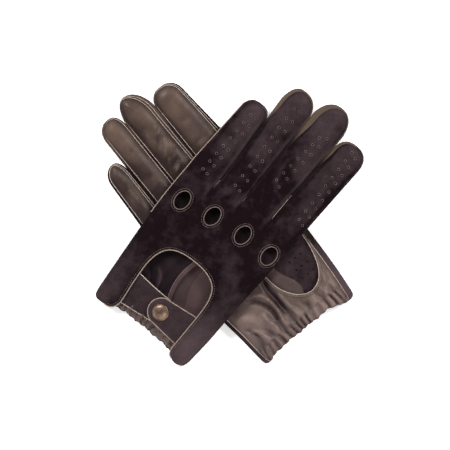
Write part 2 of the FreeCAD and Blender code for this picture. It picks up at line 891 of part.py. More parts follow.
def press_stud(side):
    """The five metal pieces of the press stud, on one axis square to the strap.

    The cap, its spring and the socket hold the strap.  The stud and the post under it hold the tab.
    Heights run outwards along the axis, from the strap's outer face or the tab's outer face.
    """
    shank_room = "shank + shank_play"
    socket = turned(
        f"{side}_snap_socket",
        [
            (shank_room, "0"),
            ("socket_radius", "0"),
            ("socket_radius", "0 - socket_thick"),
            ("socket_cavity", "0 - socket_thick"),
            ("socket_cavity", "0 - socket_roof"),
            (shank_room, "0 - socket_roof"),
        ],
    )
    stud = turned(
        f"{side}_snap_stud",
        [
            ("stud_bore", "0"),
            ("stud_radius", "0"),
            ("stud_radius", "stud_flange"),
            ("stud_neck", "stud_flange"),
            ("stud_ball", "stud_ball_low"),
            ("stud_ball", "stud_ball_high"),
            ("stud_neck", "stud_height"),
            ("0", "stud_height"),
            ("0", "stud_bore_depth"),
            ("stud_bore", "stud_bore_depth"),
        ],
    )
    post = turned(
        f"{side}_snap_post",
        [
            ("0", "0 - post_thick"),
            ("post_radius", "0 - post_thick"),
            ("post_radius", "0"),
            ("post_shank", "0"),
            ("post_shank", "post_length"),
            ("0", "post_length"),
        ],
    )
    spring = add("Part::Torus", f"{side}_snap_spring")
    bind(spring, "Radius1", "spring_ring")
    bind(spring, "Radius2", "spring_wire")
    cosine = "cos( atan( ( drape_height - drape_cuff_z ) / rise_end_y ) )" if side == "left" else "1"
    thickness = f"( strap_lining + strap_suede ) * {cosine}"
    to_socket = f"0 - {thickness} - gap / 2"
    to_spring = f"0 - {thickness} - gap / 2 - ( socket_roof + socket_thick ) / 2"
    to_tab = f"0 - ( strap_lining + strap_suede + strap_lift + tab_drop ) * {cosine}"
    for name, piece, along in (
        ("snap_cap", cap_body(f"{side}_snap_cap"), "0"),
        ("snap_socket", socket, to_socket),
        ("snap_spring", spring, to_spring),
        ("snap_stud", stud, f"{to_tab} + gap / 2"),
        ("snap_post", post, f"{to_tab} - suede * {cosine} - gap / 2"),
    ):
        keep_on_axis(side, name, piece, along)


def keep_on_axis(side, name, piece, along):
    """Keeps a turned piece, placed on the press stud's axis and laid on the floor with its glove."""
    y, z, tilt = stud_axis(side, along)
    turn, cross = f"{side}_turn", f"{side}_cross_y"
    lean = FreeCAD.Rotation(FreeCAD.Vector(1, 0, 0), number(tilt))
    swing = FreeCAD.Rotation(FreeCAD.Vector(0, 0, 1), number(turn))
    piece.Label = f"{side}_{name}"
    piece.Placement = FreeCAD.Placement(FreeCAD.Vector(), swing * lean)
    run = f"( {y} - {cross} )"
    bind(piece, "Placement.Base.x", f"pair_x + snap_x * cos( {turn} ) - {run} * sin( {turn} )")
    bind(piece, "Placement.Base.y", f"snap_x * sin( {turn} ) + {run} * cos( {turn} )")
    bind(piece, "Placement.Base.z", z)
    subparts.append(piece)


for glove_side in SIDES:
    shell(glove_side)
    edgings(glove_side)
    thumb(glove_side)
    cuff_elastic(glove_side)
    straps(glove_side)
    press_stud(glove_side)
doc.removeObject(scratch.Name)
doc.recompute()

for obj in doc.Objects:
    if "Invalid" in obj.State or "Error" in obj.State:
        raise RuntimeError(f"{obj.Label} failed: {obj.State}")
os.makedirs(PARTS_FOLDER, exist_ok=True)
for obj in subparts:
    if obj.Shape.isNull() or not obj.Shape.isValid() or not obj.Shape.Solids:
        raise RuntimeError(f"{obj.Label} has no valid solid")
for obj in subparts:
    obj.Shape.exportStep(os.path.join(PARTS_FOLDER, obj.Label + ".step"))
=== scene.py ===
"""Looks of a pair of leather driving gloves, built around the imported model.

Both gloves are drawn in a flat glove frame in millimetres: u across towards the index finger, s from the cuff
to the fingertips, and heights up from the floor.  Each leather panel is a sheet cut from its outline, raised
to the glove's crowned and draped surface.  One surface function serves the panels and all that is sewn on them.
"""

import math

import bmesh
import bpy
import numpy as np
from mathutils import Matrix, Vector
from mathutils.geometry import delaunay_2d_cdt


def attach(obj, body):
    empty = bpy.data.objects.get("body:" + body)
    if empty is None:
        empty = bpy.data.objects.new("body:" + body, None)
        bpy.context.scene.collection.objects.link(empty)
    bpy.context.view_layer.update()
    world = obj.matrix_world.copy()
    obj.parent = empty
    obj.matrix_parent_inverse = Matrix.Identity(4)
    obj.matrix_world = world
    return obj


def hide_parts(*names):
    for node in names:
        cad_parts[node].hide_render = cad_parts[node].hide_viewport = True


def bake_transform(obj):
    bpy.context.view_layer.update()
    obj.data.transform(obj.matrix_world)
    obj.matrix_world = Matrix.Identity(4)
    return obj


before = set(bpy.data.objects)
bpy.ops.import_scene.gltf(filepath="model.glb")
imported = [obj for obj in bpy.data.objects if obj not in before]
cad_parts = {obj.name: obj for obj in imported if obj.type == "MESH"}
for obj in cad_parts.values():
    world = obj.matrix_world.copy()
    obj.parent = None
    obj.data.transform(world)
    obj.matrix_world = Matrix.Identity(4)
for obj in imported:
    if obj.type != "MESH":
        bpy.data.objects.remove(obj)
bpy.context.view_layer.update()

MM = 0.001
FULL_TURN = 2 * math.pi
FINGERS = ("little", "ring", "middle", "index")
WEBS = ("little_ring", "ring_middle", "middle_index")
GRID = 1.25
EDGE_STEP = 1.3
# the least distance between outline points of the panels, and of the thumb's smaller parts
PANEL_LEAST, THUMB_LEAST = 0.35, 0.4

# placing of the gloves on the floor: turn in degrees, the place s under the middle, and the pair's shift
TURN = {"left": -39.2, "right": 39.2}
CROSS = {"left": 109.6, "right": 107.6}
PAIR_X = -2.8

# which panel lies on top, and which underneath
TOP_PANEL = {"left": "back", "right": "palm"}
UNDER_PANEL = {"left": "palm", "right": "back"}

# long profiles: s and height of the glove's underside
DRAPE = {
    "left": ((-20, -5.6), (57, 17.6), (105, 17.3), (150, 14.4), (171, 9.4), (220, 0.1), (270, 0.1)),
    "right": ((-20, 4.3), (40, 4.3), (75, 0.25), (270, 0.25)),
}
DRAPE_SOFT = 6.0

# heights over the underside: the lower and the upper sheet's edge, and how far each swells from its edge
LOW_EDGE, LOW_SWELL = 1.2, 1.1
TOP_EDGE, TOP_SWELL = 4.9, 3.7
WALL_MIDDLE = 3.1
WALL_ROWS = 11
SWELL_WIDTH = 9.0

SUEDE, NAPPA, WALL = 1.1, 0.9, 0.8

# fingers: centre and half width at the base and at the shoulder, reach, tip length, tip squareness, tip skew
BASE_S = 150.0
FINGER = {
    "left": {
        "little": (-38.3, 13.65, -38.7, 11.5, 203.0, 13.0, 2.6, 0.6),
        "ring": (-12.5, 12.6, -15.3, 13.7, 233.0, 18.0, 2.3, -1.6),
        "middle": (13.25, 13.5, 13.4, 15.2, 241.0, 20.0, 2.2, 0.4),
        "index": (39.55, 13.15, 41.85, 13.6, 225.0, 15.0, 2.4, -0.4),
    },
    "right": {
        "little": (-42.3, 10.5, -41.2, 9.5, 202.0, 15.0, 2.1, 1.6),
        "ring": (-21.45, 10.95, -21.2, 10.8, 232.0, 15.0, 2.3, 1.4),
        "middle": (2.7, 13.75, 2.95, 13.8, 238.0, 23.0, 2.0, -1.4),
        "index": (31.9, 15.95, 29.6, 13.4, 226.0, 15.0, 2.3, -0.4),
    },
}
# where two fingers part
CROTCH = {
    "left": ((-25.0, 128.0), (-0.1, 133.0), (26.5, 137.0)),
    "right": ((-32.1, 129.0), (-10.8, 133.0), (16.3, 137.0)),
}
# the hand's two sides from the cuff to the finger roots
HAND_LEFT = {
    "left": ((-42.5, -0.4), (-45.2, 1.6), (-46.4, 7), (-47.6, 20), (-49.8, 50), (-51.6, 75), (-52.7, 100),
             (-52.5, 128)),
    "right": ((-42.6, 0.4), (-44.9, 2.2), (-46.0, 8), (-47.8, 30), (-50.0, 50), (-51.8, 90), (-52.5, 128)),
}
HAND_RIGHT = {
    "left": ((39.8, -1.2), (44.6, 0.8), (46.6, 5.5), (47.4, 14), (48.4, 30), (49.0, 60), (50.4, 90),
             (52.2, 120), (52.5, 135)),
    "right": ((41.0, -1.6), (44.2, 0.2), (45.4, 6), (47.6, 30), (49.0, 60), (49.8, 90), (49.0, 120),
              (48.4, 135)),
}
# how far the upper sheet stays inside the silhouette: left base, left tip, right base, right tip, end, and
# the places s between which the base value turns into the tip value
INSETS = {
    "left": {
        "hand": (3.0, 3.0),
        "little": (3.0, 2.4, 0.8, 1.0, 1.6, 150, 190),
        "ring": (0.7, 3.2, 0.7, 1.0, 1.6, 190, 214),
        "middle": (0.7, 5.0, 0.7, 1.2, 1.6, 188, 221),
        "index": (0.7, 2.4, 3.0, 2.4, 1.6, 192, 212),
    },
    "right": {
        "hand": (3.2, 5.0),
        "little": (2.4, 2.0, 3.6, 3.0, 1.4, 150, 190),
        "ring": (2.4, 2.2, 1.6, 1.4, 1.2, 150, 210),
        "middle": (1.6, 1.4, 3.8, 4.8, 1.3, 150, 214),
        "index": (1.3, 1.3, 4.4, 2.8, 1.3, 150, 208),
    },
}
LOW_INSET = 1.6
EVEN_SPAN = (150, 170)
# the leather runs a little below the point where two fingers part
ROOT_SINK = 1.5
HAND_STEPS, SIDE_STEPS, TIP_STEPS = 64, 54, 40

# knuckle holes
KNUCKLE_HALF = (6.0, 8.2)
KNUCKLES = {
    "left": ((-38.5, 103.5), (-12.0, 108.7), (16.0, 112.3), (42.5, 112.5)),
    "right": ((-39.5, 103.5), (-15.5, 108.7), (12.0, 112.3), (37.5, 112.5)),
}
# the wrist opening's edge, from the index side's lobe round to the little finger's side
OPENING = (
    (34.0, 0.2), (31.2, 1.6), (29.4, 5.0), (29.0, 11.0), (29.0, 24.0), (29.0, 38.0), (28.7, 48.0),
    (27.4, 56.5), (24.2, 63.8), (18.4, 68.7), (10.0, 71.4), (0.5, 72.0), (-9.5, 71.4), (-18.2, 68.8),
    (-24.0, 64.0), (-27.4, 56.5), (-28.7, 47.5), (-28.4, 38.0), (-27.4, 26.0), (-26.0, 14.0),
    (-25.9, 8.0), (-27.8, 3.2), (-31.0, 0.8), (-34.5, 0.2),
)
# punched rows: the row's first and last point, and how many holes
PUNCHED = {
    "index": ((42.6, 150.0), (42.0, 218.0), (47.8, 148.0), (47.0, 216.0), 9),
    "middle": ((9.0, 163.0), (14.5, 211.0), (14.0, 160.0), (19.5, 214.0), 7),
    "ring": ((-13.5, 139.0), (-16.0, 216.0), (-8.0, 138.0), (-10.6, 217.0), 9),
    "little": ((-41.5, 133.0), (-39.5, 190.0), (-36.6, 132.0), (-34.4, 191.0), 8),
}
PUNCH_RADIUS, RIM_RADIUS = 0.85, 0.15

# cord radii
CORD = {"piping": 0.45, "binding": 0.4, "strap": 0.46, "tab": 0.36, "thumb": 0.3, "welt": 0.34, "seam": 0.22,
        "outer": 0.21, "under": 0.3, "side": 0.28, "root": 0.17, "edge": 0.42}
# stitch rows: the thread's radius, a stitch's length, and the pitch
STITCHES = {"opening": (0.16, 1.4, 2.1), "knuckle": (0.22, 0.8, 1.25), "thumb": (0.26, 1.2, 1.9),
            "cuff": (0.2, 1.5, 2.2)}


# --- small geometry helpers

def smoothstep(x, low, high):
    t = np.clip((np.asarray(x, float) - low) / (high - low), 0.0, 1.0)
    return t * t * (3 - 2 * t)


def closed(ring):
    """A ring with its first point again at the end."""
    return np.vstack([ring, ring[:1]])


def interpolate(at, run, p):
    return np.stack([np.interp(at, run, p[:, k]) for k in range(p.shape[1])], 1)


def catmull(points, step=1.0, loop=False):
    """A smooth curve through points, evenly resampled."""
    p = np.asarray(points, float)
    if loop:
        p = np.vstack([p[-1], p, p[0], p[1]])
    else:
        p = np.vstack([2 * p[0] - p[1], p, 2 * p[-1] - p[-2]])
    t = np.linspace(0, 1, 16, endpoint=False)[:, None]
    curve = [0.5 * (2 * b + (c - a) * t + (2 * a - 5 * b + 4 * c - d) * t**2 + (3 * b - a - 3 * c + d) * t**3)
             for a, b, c, d in zip(p[:-3], p[1:-2], p[2:-1], p[3:])]
    return resample(np.vstack(curve + ([] if loop else [p[-2][None]])), step, loop)


def resample(points, step, loop=False):
    p = np.asarray(points, float)
    if loop:
        p = closed(p)
    run = np.concatenate([[0], np.cumsum(np.linalg.norm(np.diff(p, axis=0), axis=1))])
    count = max(2, int(round(run[-1] / step)))
    out = interpolate(np.linspace(0, run[-1], count + 1), run, p)
    return out[:-1] if loop else out


def distance(uv, path):
    """Distance from each point to an open polyline."""
    a = path[:-1]
    ab = path[1:] - a
    length2 = np.maximum((ab**2).sum(1), 1e-12)
    out = np.empty(len(uv))
    for start in range(0, len(uv), 4000):
        p = uv[start:start + 4000, None, :]
        t = np.clip(((p - a) * ab).sum(2) / length2, 0, 1)
        out[start:start + 4000] = np.sqrt((((a + t[..., None] * ab) - p)**2).sum(2).min(1))
    return out


def inside(uv, ring):
    """Which points lie inside a closed polygon."""
    x, y = uv.T
    hit = np.zeros(len(uv), bool)
    for (x0, y0), (x1, y1) in zip(ring, np.roll(ring, -1, 0)):
        if y0 != y1:
            hit ^= ((y0 > y) != (y1 > y)) & (x < (x1 - x0) * (y - y0) / (y1 - y0) + x0)
    return hit


def undulation(uv, seed, wavelength, count=7):
    """Gentle rolling noise between about -1 and 1, from a few seeded waves."""
    rng = np.random.default_rng(seed)
    total = np.zeros(len(uv))
    for _ in range(count):
        angle, phase = rng.uniform(0, FULL_TURN, 2)
        k = FULL_TURN / (wavelength * rng.uniform(0.7, 1.5))
        total += np.sin(k * (uv[:, 0] * math.cos(angle) + uv[:, 1] * math.sin(angle)) + phase)
    return total / math.sqrt(count)


def ellipse(centre, half, count):
    """A ring of points; half is its radius, or its two half sizes."""
    a = np.linspace(0, FULL_TURN, count, endpoint=False)
    return np.asarray(centre) + np.asarray(half) * np.stack([np.cos(a), np.sin(a)], 1)


def thin(ring, least):
    """Drops outline points closer than the given distance to the one before."""
    kept = [ring[0]]
    for p in ring[1:]:
        if np.linalg.norm(p - kept[-1]) >= least:
            kept.append(p)
    return np.array(kept)


def offset_path(path, out):
    """Moves an open path sideways, to the right of its direction for a positive distance."""
    ahead = np.gradient(path, axis=0)
    ahead /= np.linalg.norm(ahead, axis=1, keepdims=True)
    return path + out * np.stack([ahead[:, 1], -ahead[:, 0]], 1)


def line_at(s, count):
    """A straight line across the cuff at a place s."""
    return np.stack([np.linspace(-40, 40, count), np.full(count, s)], 1)


def neighbours(count, wrap):
    return [(k, (k + 1) % count) for k in range(count if wrap else count - 1)]


def grid_faces(rows, columns, wrap_rows=False, wrap_columns=False):
    """Quads between points numbered row by row; a wrapped direction closes on itself."""
    return [(r * columns + i, r * columns + j, q * columns + j, q * columns + i)
            for r, q in neighbours(rows, wrap_rows) for i, j in neighbours(columns, wrap_columns)]


# --- the glove's outlines

def finger_path(side, name, inset, left_root, right_root):
    """One finger's outline from its left root round the tip to its right root."""
    base, base_half, tip, tip_half, reach, tip_length, square, skew = FINGER[side][name]
    left_base, left_tip, right_base, right_tip, end, low_s, high_s = inset
    shoulder = reach - tip_length

    def edge(at_base, at_tip, base_inset, tip_inset, root):
        s = root[1] + (shoulder - root[1]) * np.linspace(0, 1, SIDE_STEPS, endpoint=False)
        line = at_base + (at_tip - at_base) * (s - BASE_S) / (shoulder - BASE_S)
        line = line + base_inset + (tip_inset - base_inset) * smoothstep(s, low_s, min(high_s, shoulder))
        grow = smoothstep(s - root[1], 0, 14)
        return np.stack([root[0] * (1 - grow) + line * grow, s], 1)

    low, high = tip - tip_half + left_tip, tip + tip_half - right_tip
    a = np.linspace(math.pi, 0, TIP_STEPS)
    c, n = np.cos(a), np.sin(a)
    tip_u = (low + high) / 2 + (high - low) / 2 * np.sign(c) * np.abs(c)**(2 / square) + skew * np.abs(n)**3
    tip_s = shoulder + (tip_length - end) * np.abs(n)**(2 / square)
    return np.vstack([
        edge(base - base_half, tip - tip_half, left_base, left_tip, left_root),
        np.stack([tip_u, tip_s], 1),
        edge(base + base_half, tip + tip_half, -right_base, -right_tip, right_root)[::-1],
    ])


def hand_side(points, inset):
    """One side of the hand, from the cuff to the finger root, moved in by an inset."""
    curve = catmull(points)
    path = interpolate(np.linspace(0, len(curve) - 1, HAND_STEPS), np.arange(len(curve)), curve)
    return path + [inset, 0]


def outline(side, level):
    """The open outline from the cuff's left corner round the fingers to its right corner."""
    even = LOW_INSET if level == "low" else 0.0
    insets = {"hand": (even, even), **{name: (even,) * 5 + EVEN_SPAN for name in FINGERS}}
    if level == "top":
        insets = INSETS[side]
    sink = 0.0 if level == "middle" else ROOT_SINK
    left = hand_side(HAND_LEFT[side], insets["hand"][0])
    right = hand_side(HAND_RIGHT[side], -insets["hand"][1])
    roots = [left[-1], *(np.array([u, s - sink]) for u, s in CROTCH[side]), right[-1]]
    fingers = [finger_path(side, name, insets[name], *roots[k:k + 2]) for k, name in enumerate(FINGERS)]
    return np.vstack([left[:-1], *fingers, right[::-1][1:]])


OUTLINES = {(side, level): outline(side, level) for side in TURN for level in ("low", "middle", "top")}

# numbers of the outline's points: each finger's first, each fingertip's, and the last of all
PER_FINGER = 2 * SIDE_STEPS + TIP_STEPS
STARTS = [HAND_STEPS - 1 + k * PER_FINGER for k in range(5)]
APEXES = [start + SIDE_STEPS + TIP_STEPS // 2 for start in STARTS[:4]]
LAST_POINT = STARTS[4] + HAND_STEPS - 2
# the stretches of outline that each piece's side walls cover
WALLS = {"back": ((0, APEXES[0]), (APEXES[3], LAST_POINT))}
WALLS.update({web: (span,) for web, span in zip(WEBS, zip(APEXES, APEXES[1:]))})


# --- the glove's surface

def drape(side, s):
    """Height of the glove's underside, its bends softened."""
    at, heights = np.array(DRAPE[side], float).T
    grid = np.arange(-40, 300, 1.0)
    line = np.interp(grid, at, heights)
    before = grid < at[0]
    line[before] += (grid[before] - at[0]) * ((heights[1] - heights[0]) / (at[1] - at[0]))
    kernel = np.exp(-0.5 * (np.arange(-20, 21) / DRAPE_SOFT)**2)
    return np.interp(s, grid, np.convolve(np.pad(line, 20, "edge"), kernel / kernel.sum(), "valid"))


def ridge(uv, path, height, width):
    """A soft fold along a path."""
    path = catmull(path, 2.0)
    ends = np.minimum(np.linalg.norm(uv - path[0], axis=1), np.linalg.norm(uv - path[-1], axis=1))
    return height * np.exp(-(distance(uv, path) / width)**2) * smoothstep(ends, 0, 5 * width)


def gathers(uv):
    """Pleats of the elastic cuff: sharp valleys between round folds, fading out above the elastic."""
    u, s = uv.T
    bend = u + 0.9 * np.sin(s / 5.0 + u / 8.0)
    pleat = np.abs(np.sin(bend / 1.75 + 0.9 * np.sin(u / 6.3))) - 0.6
    pleat = pleat * (1.0 + 0.35 * np.sin(u / 4.1 + 1.0)) + 0.12 * np.sin(bend / 0.47)
    broad = np.sin(bend / 1.9 + 0.8 * np.sin(u / 9.0 + 2.0))
    cuff = 1 - smoothstep(s, 10.5, 15)
    above = (1 - smoothstep(s, 13, 30)) * (1 - cuff)
    return 2.7 * pleat * cuff + 1.3 * broad * above


# folds of each panel: the path, its height (negative for a hollow) and its half width
BACK_FOLDS = (
    (((1.0, 186), (1.5, 172), (4.0, 161), (8.5, 151), (16.0, 144)), -2.1, 1.7),
    (((5.5, 186), (7.0, 172), (10.5, 161), (15.0, 152)), 1.0, 2.0),
    (((12.5, 150), (17.0, 143), (24.0, 141)), -0.8, 1.8),
    (((1.0, 150), (4.0, 142), (8.0, 136), (12.0, 128)), -1.2, 1.6),
    (((4.0, 152), (8.5, 144), (13.5, 137)), 0.9, 1.8),
    (((-25, 131), (-24.2, 121), (-22, 111)), -1.5, 1.7),
    (((-29, 133), (-28.5, 122), (-26, 113)), 0.8, 2.4),
    (((0, 135), (1.2, 126), (4.5, 117)), -1.6, 1.8),
    (((-4, 136), (-3.4, 126), (-1, 118)), 0.9, 2.4),
    (((26.5, 139), (27.6, 129), (30.5, 120)), -1.5, 1.8),
    (((22.8, 142), (23.2, 131), (25, 122)), 1.1, 2.3),
    (((12, 143), (17, 137), (23, 134), (27, 127)), -0.7, 1.7),
    (((-20, 130), (-14, 127), (-8, 131)), -0.6, 1.8),
    (((-22, 96), (-8, 90), (10, 92)), 0.35, 4.0),
    (((-30, 86), (-14, 79), (4, 80), (18, 86)), -0.4, 3.0),
)
PALM_FOLDS = (
    (((-22, 52), (-15.0, 47.5), (-11.0, 39.5), (-10.2, 29), (-12.0, 20.5), (-13.4, 13)), 2.9, 1.4),
    (((-28, 51), (-20, 45), (-15.2, 36), (-14.2, 27), (-16.4, 17)), -2.5, 1.8),
    (((-4.0, 60), (-6.6, 47), (-6.2, 34), (-6.8, 20)), -2.9, 1.9),
    (((-20.5, 36), (-22.0, 29), (-19.0, 19), (-21.4, 12)), 1.6, 1.4),
    (((-18.5, 33), (-19.4, 27), (-16.8, 19)), -1.0, 1.3),
    (((-49, 54), (-38, 50), (-29, 49)), -1.5, 3.0),
    (((-48, 44), (-38, 41), (-30, 34), (-26, 26)), 2.2, 3.2),
    (((-43, 36), (-37, 27), (-34, 16)), -1.9, 1.5),
    (((-40, 31), (-33, 24), (-30, 14)), 1.6, 1.3),
    (((-30, 26), (-27, 19), (-26, 12)), -1.2, 1.4),
    (((-1.5, 42), (-2.0, 30), (-0.5, 19), (0.5, 12)), 1.4, 1.5),
    (((2.5, 26), (4.0, 18), (4.5, 11)), -1.1, 1.3),
    (((31, 26), (27, 18), (23, 11)), -1.1, 1.2),
    (((14, 22), (11, 17), (10, 11)), -1.1, 1.3),
    (((36, 30), (33, 21), (31, 12)), 0.9, 1.4),
    (((41, 34), (38, 24), (37, 12)), -0.8, 1.4),
    (((-4, 180), (1, 183), (5, 188), (9, 195)), 1.0, 0.95),
    (((-6, 172), (-1, 176), (6, 181)), 0.8, 0.9),
    (((-3, 176), (4, 179), (11, 184)), -0.9, 1.1),
    (((-5, 186), (-1, 190), (4, 198)), -0.7, 1.2),
    (((1, 196), (5, 200), (8, 207)), 0.8, 0.9),
    (((-7, 164), (0, 166), (8, 171)), 0.7, 1.0),
    (((-6, 168), (0, 171), (7, 175)), -0.6, 1.1),
    (((-7, 192), (-4, 198), (-3, 205)), 0.5, 1.0),
    (((-47, 164), (-42, 174), (-38, 186)), 0.5, 1.2),
    (((-44, 160), (-40, 168), (-36, 176)), -0.4, 1.3),
    (((20, 190), (28, 193), (37, 192)), -0.4, 2.0),
    (((18, 170), (27, 173), (38, 171)), -0.3, 2.0),
    (((-28, 196), (-21, 199), (-14, 197)), -0.4, 2.0),
    (((-29, 172), (-21, 175), (-14, 172)), -0.35, 2.0),
)
# each panel's folds, and the seeds of its rolling and of its fine unevenness
RELIEF = {"back": (BACK_FOLDS, 11, 5), "palm": (PALM_FOLDS, 23, 6)}
CUFF_STITCH_S = 12.2


def relief(panel, uv):
    """Folds, hollows and slight unevenness of one leather panel."""
    folds, rolling, fine = RELIEF[panel]
    out = 0.34 * undulation(uv, rolling, 34.0)
    out += 0.07 * undulation(uv, fine, 11.0)
    for fold in folds:
        out += ridge(uv, *fold)
    if panel == "palm":
        s = uv[:, 1]
        out += gathers(uv)
        out -= 0.6 * np.exp(-((s - CUFF_STITCH_S) / 0.9)**2)
        out += (0.04 + 0.05 * (1 - smoothstep(s, 34, 66))) * undulation(uv, 9, 5.5)
    return out


def outward(side, panel):
    """1 where a panel faces up, -1 where it faces the floor."""
    return 1.0 if TOP_PANEL[side] == panel else -1.0


def panel_edge(side, panel):
    return OUTLINES[side, "top" if outward(side, panel) > 0 else "low"]


def skin(side, panel, uv, lift=0.0):
    """Height of a panel's outer face, plus a lift outwards from it."""
    uv = np.asarray(uv, float)
    u, s = uv.T
    sign = outward(side, panel)
    edge = panel_edge(side, panel)[::3]
    foot = edge[[0, -1]] - [[0, 40], [0, 40]]
    d = distance(uv, np.vstack([foot[0], edge, foot[1]]))
    swell = 1 - (1 - np.clip(d / SWELL_WIDTH, 0, 1))**2
    base = drape(side, s)
    if side == "right":
        base = base - 3.4 * smoothstep(np.abs(u), 20, 46) * (1 - smoothstep(s, 20, 62))
    local = LOW_EDGE - LOW_SWELL * swell if sign < 0 else TOP_EDGE + TOP_SWELL * swell
    strength = (0.35 if sign < 0 else 1.0) * smoothstep(d, 0, 4)
    if panel == "palm" and sign < 0:
        middle = 1 - smoothstep(np.abs(u), 22, 40)
        local = local + 3.0 * (1 - smoothstep(s, 6, 42)) * middle
        strength = np.maximum(strength, (1 - smoothstep(s, 16, 30)) * middle)
    return base + local + sign * (strength * relief(panel, uv) + lift)


def place(side, uv, height):
    """Row-frame metres of glove-frame points."""
    a = math.radians(TURN[side])
    u, s = np.asarray(uv, float).T
    s = s - CROSS[side]
    x = u * math.cos(a) - s * math.sin(a) + PAIR_X
    y = u * math.sin(a) + s * math.cos(a)
    return np.stack([x, y, np.broadcast_to(height, x.shape)], 1) * MM


def on_skin(side, panel, path, lift):
    return place(side, path, skin(side, panel, path, lift))


# --- mesh makers

class Build:
    """Collects vertices, faces, material numbers and a tone for each vertex, for one object."""

    def __init__(self):
        self.verts, self.faces, self.slots, self.tones = [], [], [], []
        self.count = 0

    def add(self, verts, faces, slot=0, tone=0.5):
        self.verts.append(np.asarray(verts, float))
        self.tones.append(np.broadcast_to(np.asarray(tone, float), (len(verts),)))
        self.faces.extend([tuple(int(i) + self.count for i in f) for f in faces])
        self.slots.extend([slot] * len(faces))
        self.count += len(verts)

    def tube(self, path, radius, slot=0, loop=False, sides=8, tone=0.5, flat=1.0):
        """A round or flattened cord along a path in metres, its radius in millimetres."""
        p = np.asarray(path, float)
        ahead = np.roll(p, -1, 0) - np.roll(p, 1, 0) if loop else np.gradient(p, axis=0)
        ahead /= np.maximum(np.linalg.norm(ahead, axis=1, keepdims=True), 1e-12)
        across = np.cross(ahead, [0, 0, 1.0])
        across /= np.maximum(np.linalg.norm(across, axis=1, keepdims=True), 1e-12)
        up = np.cross(across, ahead)
        a = np.linspace(0, FULL_TURN, sides, endpoint=False)[None, :, None]
        r = np.broadcast_to(np.asarray(radius, float) * MM, (len(p),))[:, None, None]
        rings = p[:, None] + r * (np.cos(a) * across[:, None] + flat * np.sin(a) * up[:, None])
        faces = grid_faces(len(p), sides, loop, True)
        if not loop:
            first = (len(p) - 1) * sides
            faces += [tuple(range(sides))[::-1], tuple(range(first, first + sides))]
        self.add(rings.reshape(-1, 3), faces, slot, tone)

    def stitches(self, path, radius, length, pitch):
        """A row of short stitches along a path in metres; their sizes are in millimetres."""
        run = 0.2
        fine = resample(path, run * MM)
        start = pitch / 2
        profile = np.array([0.35, 0.85, 1.0, 1.0, 0.85, 0.35]) * radius
        while start + length < run * (len(fine) - 1):
            at = np.linspace(start, start + length, len(profile)) / run
            self.tube(interpolate(at, np.arange(len(fine)), fine), profile, sides=6)
            start += pitch


def add_piece(side, name, build, materials, node=None, body="glove", thickness=0.0, smooth=55,
              merge=0.02):
    """Makes one piece: welds, thickens inwards and smooths it, gives it its materials, ties it to its body, and
    hides the imported part of its node.

    Lengths are in millimetres.  A piece with the body "hinge", the leather from the glove to the strap, stays
    where it is built and is tied to no body.
    """
    mesh = bpy.data.meshes.new(f"{side}_{name}")
    mesh.from_pydata(np.vstack(build.verts).tolist(), [], build.faces)
    mesh.polygons.foreach_set("material_index", build.slots)
    mesh.attributes.new("tone", "FLOAT", "POINT").data.foreach_set("value", np.concatenate(build.tones))
    for material in materials:
        mesh.materials.append(material)
    shape = bmesh.new()
    shape.from_mesh(mesh)
    if merge:
        bmesh.ops.remove_doubles(shape, verts=shape.verts, dist=merge * MM)
    shape.to_mesh(mesh)
    shape.free()
    obj = bpy.data.objects.new(f"{side}_{name}", mesh)
    bpy.context.collection.objects.link(obj)
    if thickness:
        solid = obj.modifiers.new("thickness", "SOLIDIFY")
        solid.thickness = thickness * MM
        solid.offset = -1.0
        solid.use_even_offset = False
        solid.material_offset_rim = 1
        solid.material_offset = 2 if len(materials) > 2 else 0
        made = bpy.data.meshes.new_from_object(obj.evaluated_get(bpy.context.evaluated_depsgraph_get()))
        obj.modifiers.clear()
        obj.data = made
    smooth_shaded(obj.data, smooth)
    if body == "hinge":
        start, end = (tuple(point) for point in place(side, HINGE_SPAN, 0))
        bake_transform(obj)
    else:
        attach(obj, f"{side}_{body}")
    if node:
        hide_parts(f"{side}_{node}")


def smooth_shaded(mesh, degrees):
    mesh.shade_smooth()
    mesh.set_sharp_from_angle(angle=math.radians(degrees))


def inside_hole(points, hole, margin=0.0):
    """Which points lie inside a hole, or nearer to its edge than a margin."""
    middle = hole.mean(0)
    hit = np.linalg.norm(points - middle, axis=1) < np.linalg.norm(hole - middle, axis=1).max() + 2 * margin
    near = points[hit]
    hit[hit] = inside(near, hole) | (distance(near, closed(hole)) < margin)
    return hit


def panel_faces(ring, holes=(), spacing=GRID):
    """Triangulates a polygon with holes on an even lattice.  Returns points and faces."""
    low, high = ring.min(0), ring.max(0)
    row = spacing * math.sqrt(3) / 2
    margin = 0.45 * spacing
    lattice = []
    for k, s in enumerate(np.arange(low[1] + row, high[1], row)):
        u = np.arange(low[0] + (spacing / 2 if k % 2 else 0), high[0], spacing)
        lattice.append(np.stack([u, np.full(len(u), s)], 1))
    lattice = np.vstack(lattice)
    lattice = lattice[inside(lattice, ring)]
    for hole in holes:
        lattice = lattice[~inside_hole(lattice, hole, margin)]
    lattice = lattice[distance(lattice, closed(ring)) > margin]
    points, edges = [], []
    for loop in [ring, *holes]:
        edges.extend((len(points) + i, len(points) + j) for i, j in neighbours(len(loop), True))
        points.extend(loop.tolist())
    points.extend(lattice.tolist())
    out = delaunay_2d_cdt([tuple(p) for p in points], edges, [], 0, 1e-6, False)
    verts = np.array([tuple(v) for v in out[0]])
    faces = np.array([f for f in out[2] if len(f) == 3])
    centre = verts[faces].mean(1)
    good = inside(centre, ring)
    for hole in holes:
        good &= ~inside_hole(centre, hole)
    faces = faces[good]
    a, b, c = (verts[faces[:, k]] for k in range(3))
    flip = ((b - a)[:, 0] * (c - a)[:, 1] - (b - a)[:, 1] * (c - a)[:, 0]) < 0
    faces[flip] = faces[flip][:, ::-1]
    return verts, faces


